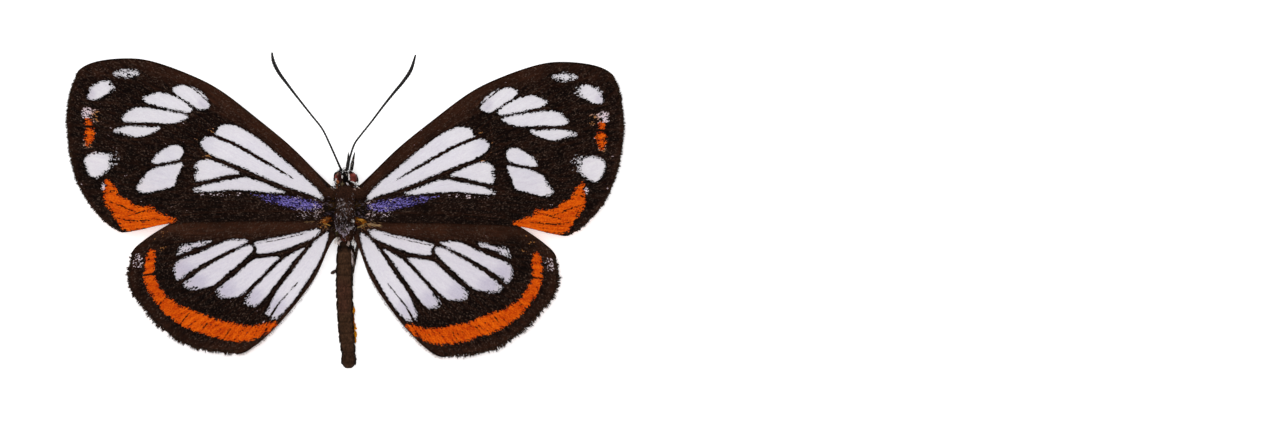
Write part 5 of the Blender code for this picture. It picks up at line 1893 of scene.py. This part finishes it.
def make_floor(context, settings):
    """Lay the white card under the butterfly."""
    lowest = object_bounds()[0][2]
    deselect_all()
    bpy.ops.mesh.primitive_plane_add(size=CARD_SIZE, location=(0.0, 0.0, 0.0))
    floor = context.object
    floor.name = "floor"
    for vertex in floor.data.vertices:
        vertex.co.z = lowest - CARD_GAP
    floor.data.materials.append(card_material(settings))
    floor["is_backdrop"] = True


def make_light(context, settings):
    """Make the white surroundings and one large, soft light."""
    world = bpy.data.worlds.new("white surroundings")
    world.use_nodes = True
    background = world.node_tree.nodes["Background"]
    background.inputs["Color"].default_value = WHITE
    background.inputs["Strength"].default_value = settings.surround
    context.scene.world = world

    lamp = bpy.data.lights.new("soft light", "AREA")
    lamp.shape = "DISK"
    lamp.size = LAMP_SIZE
    lamp.energy = LAMP_POWER * settings.light
    light = bpy.data.objects.new("soft light", lamp)
    light.location = LAMP_PLACE
    light.rotation_euler = (-light.location).to_track_quat("-Z", "Y").to_euler()
    context.scene.collection.objects.link(light)


def make_camera(context, settings):
    """Set the camera straight above, beside the middle, so that the butterfly is on the left."""
    lens = bpy.data.cameras.new("camera")
    lens.lens = settings.focal
    lens.sensor_width = SENSOR_WIDTH_MM
    lens.sensor_fit = "HORIZONTAL"
    lens.clip_start = 0.01
    lens.clip_end = 10.0
    camera = bpy.data.objects.new("camera", lens)
    camera.location = (*CAMERA_PLACE, settings.distance + CAMERA_BASE)
    context.scene.collection.objects.link(camera)
    context.scene.camera = camera
    context.scene.view_settings.view_transform = "Standard"


class BUTTERFLY_OT_stage(bpy.types.Operator):
    """Build the floor, the soft light and the camera"""

    bl_idname = "butterfly.stage"
    bl_label = "Stage"

    def execute(self, context):
        settings = context.scene.butterfly_stage
        for make in (make_floor, make_light, make_camera):
            make(context, settings)
        return {"FINISHED"}


STEPS = (
    "wings", "fringes", "thorax", "abdomen", "head", "eyes", "antennae", "palps", "legs", "coats",
    "stage",
)


class BUTTERFLY_PT_panel(bpy.types.Panel):
    """Panel with the butterfly's steps and settings"""

    bl_label = "Butterfly"
    bl_idname = "BUTTERFLY_PT_panel"
    bl_space_type = "VIEW_3D"
    bl_region_type = "UI"
    bl_category = "Butterfly"

    def draw(self, context):
        scene = context.scene
        for group in (scene.butterfly_wings, scene.butterfly_body, scene.butterfly_stage):
            box = self.layout.box()
            for name in group.bl_rna.properties.keys():
                if name not in ("rna_type", "name"):
                    box.prop(group, name)
        for step in STEPS:
            self.layout.operator(f"butterfly.{step}")


CLASSES = (
    ButterflyWingSettings, ButterflyBodySettings, ButterflyStageSettings, BUTTERFLY_OT_wings,
    BUTTERFLY_OT_fringes, BUTTERFLY_OT_thorax, BUTTERFLY_OT_abdomen, BUTTERFLY_OT_head,
    BUTTERFLY_OT_eyes, BUTTERFLY_OT_antennae, BUTTERFLY_OT_palps, BUTTERFLY_OT_legs,
    BUTTERFLY_OT_coats, BUTTERFLY_OT_stage, BUTTERFLY_PT_panel,
)


def register():
    """Register the classes and hang the settings on the scene."""
    for item in CLASSES:
        bpy.utils.register_class(item)
    bpy.types.Scene.butterfly_wings = PointerProperty(type=ButterflyWingSettings)
    bpy.types.Scene.butterfly_body = PointerProperty(type=ButterflyBodySettings)
    bpy.types.Scene.butterfly_stage = PointerProperty(type=ButterflyStageSettings)


def unregister():
    """Take the settings and the classes away again."""
    del bpy.types.Scene.butterfly_stage
    del bpy.types.Scene.butterfly_body
    del bpy.types.Scene.butterfly_wings
    for item in reversed(CLASSES):
        bpy.utils.unregister_class(item)


def main():
    """Build everything in order."""
    register()
    for step in STEPS:
        getattr(bpy.ops.butterfly, step)()


if __name__ == "__main__":
    main()
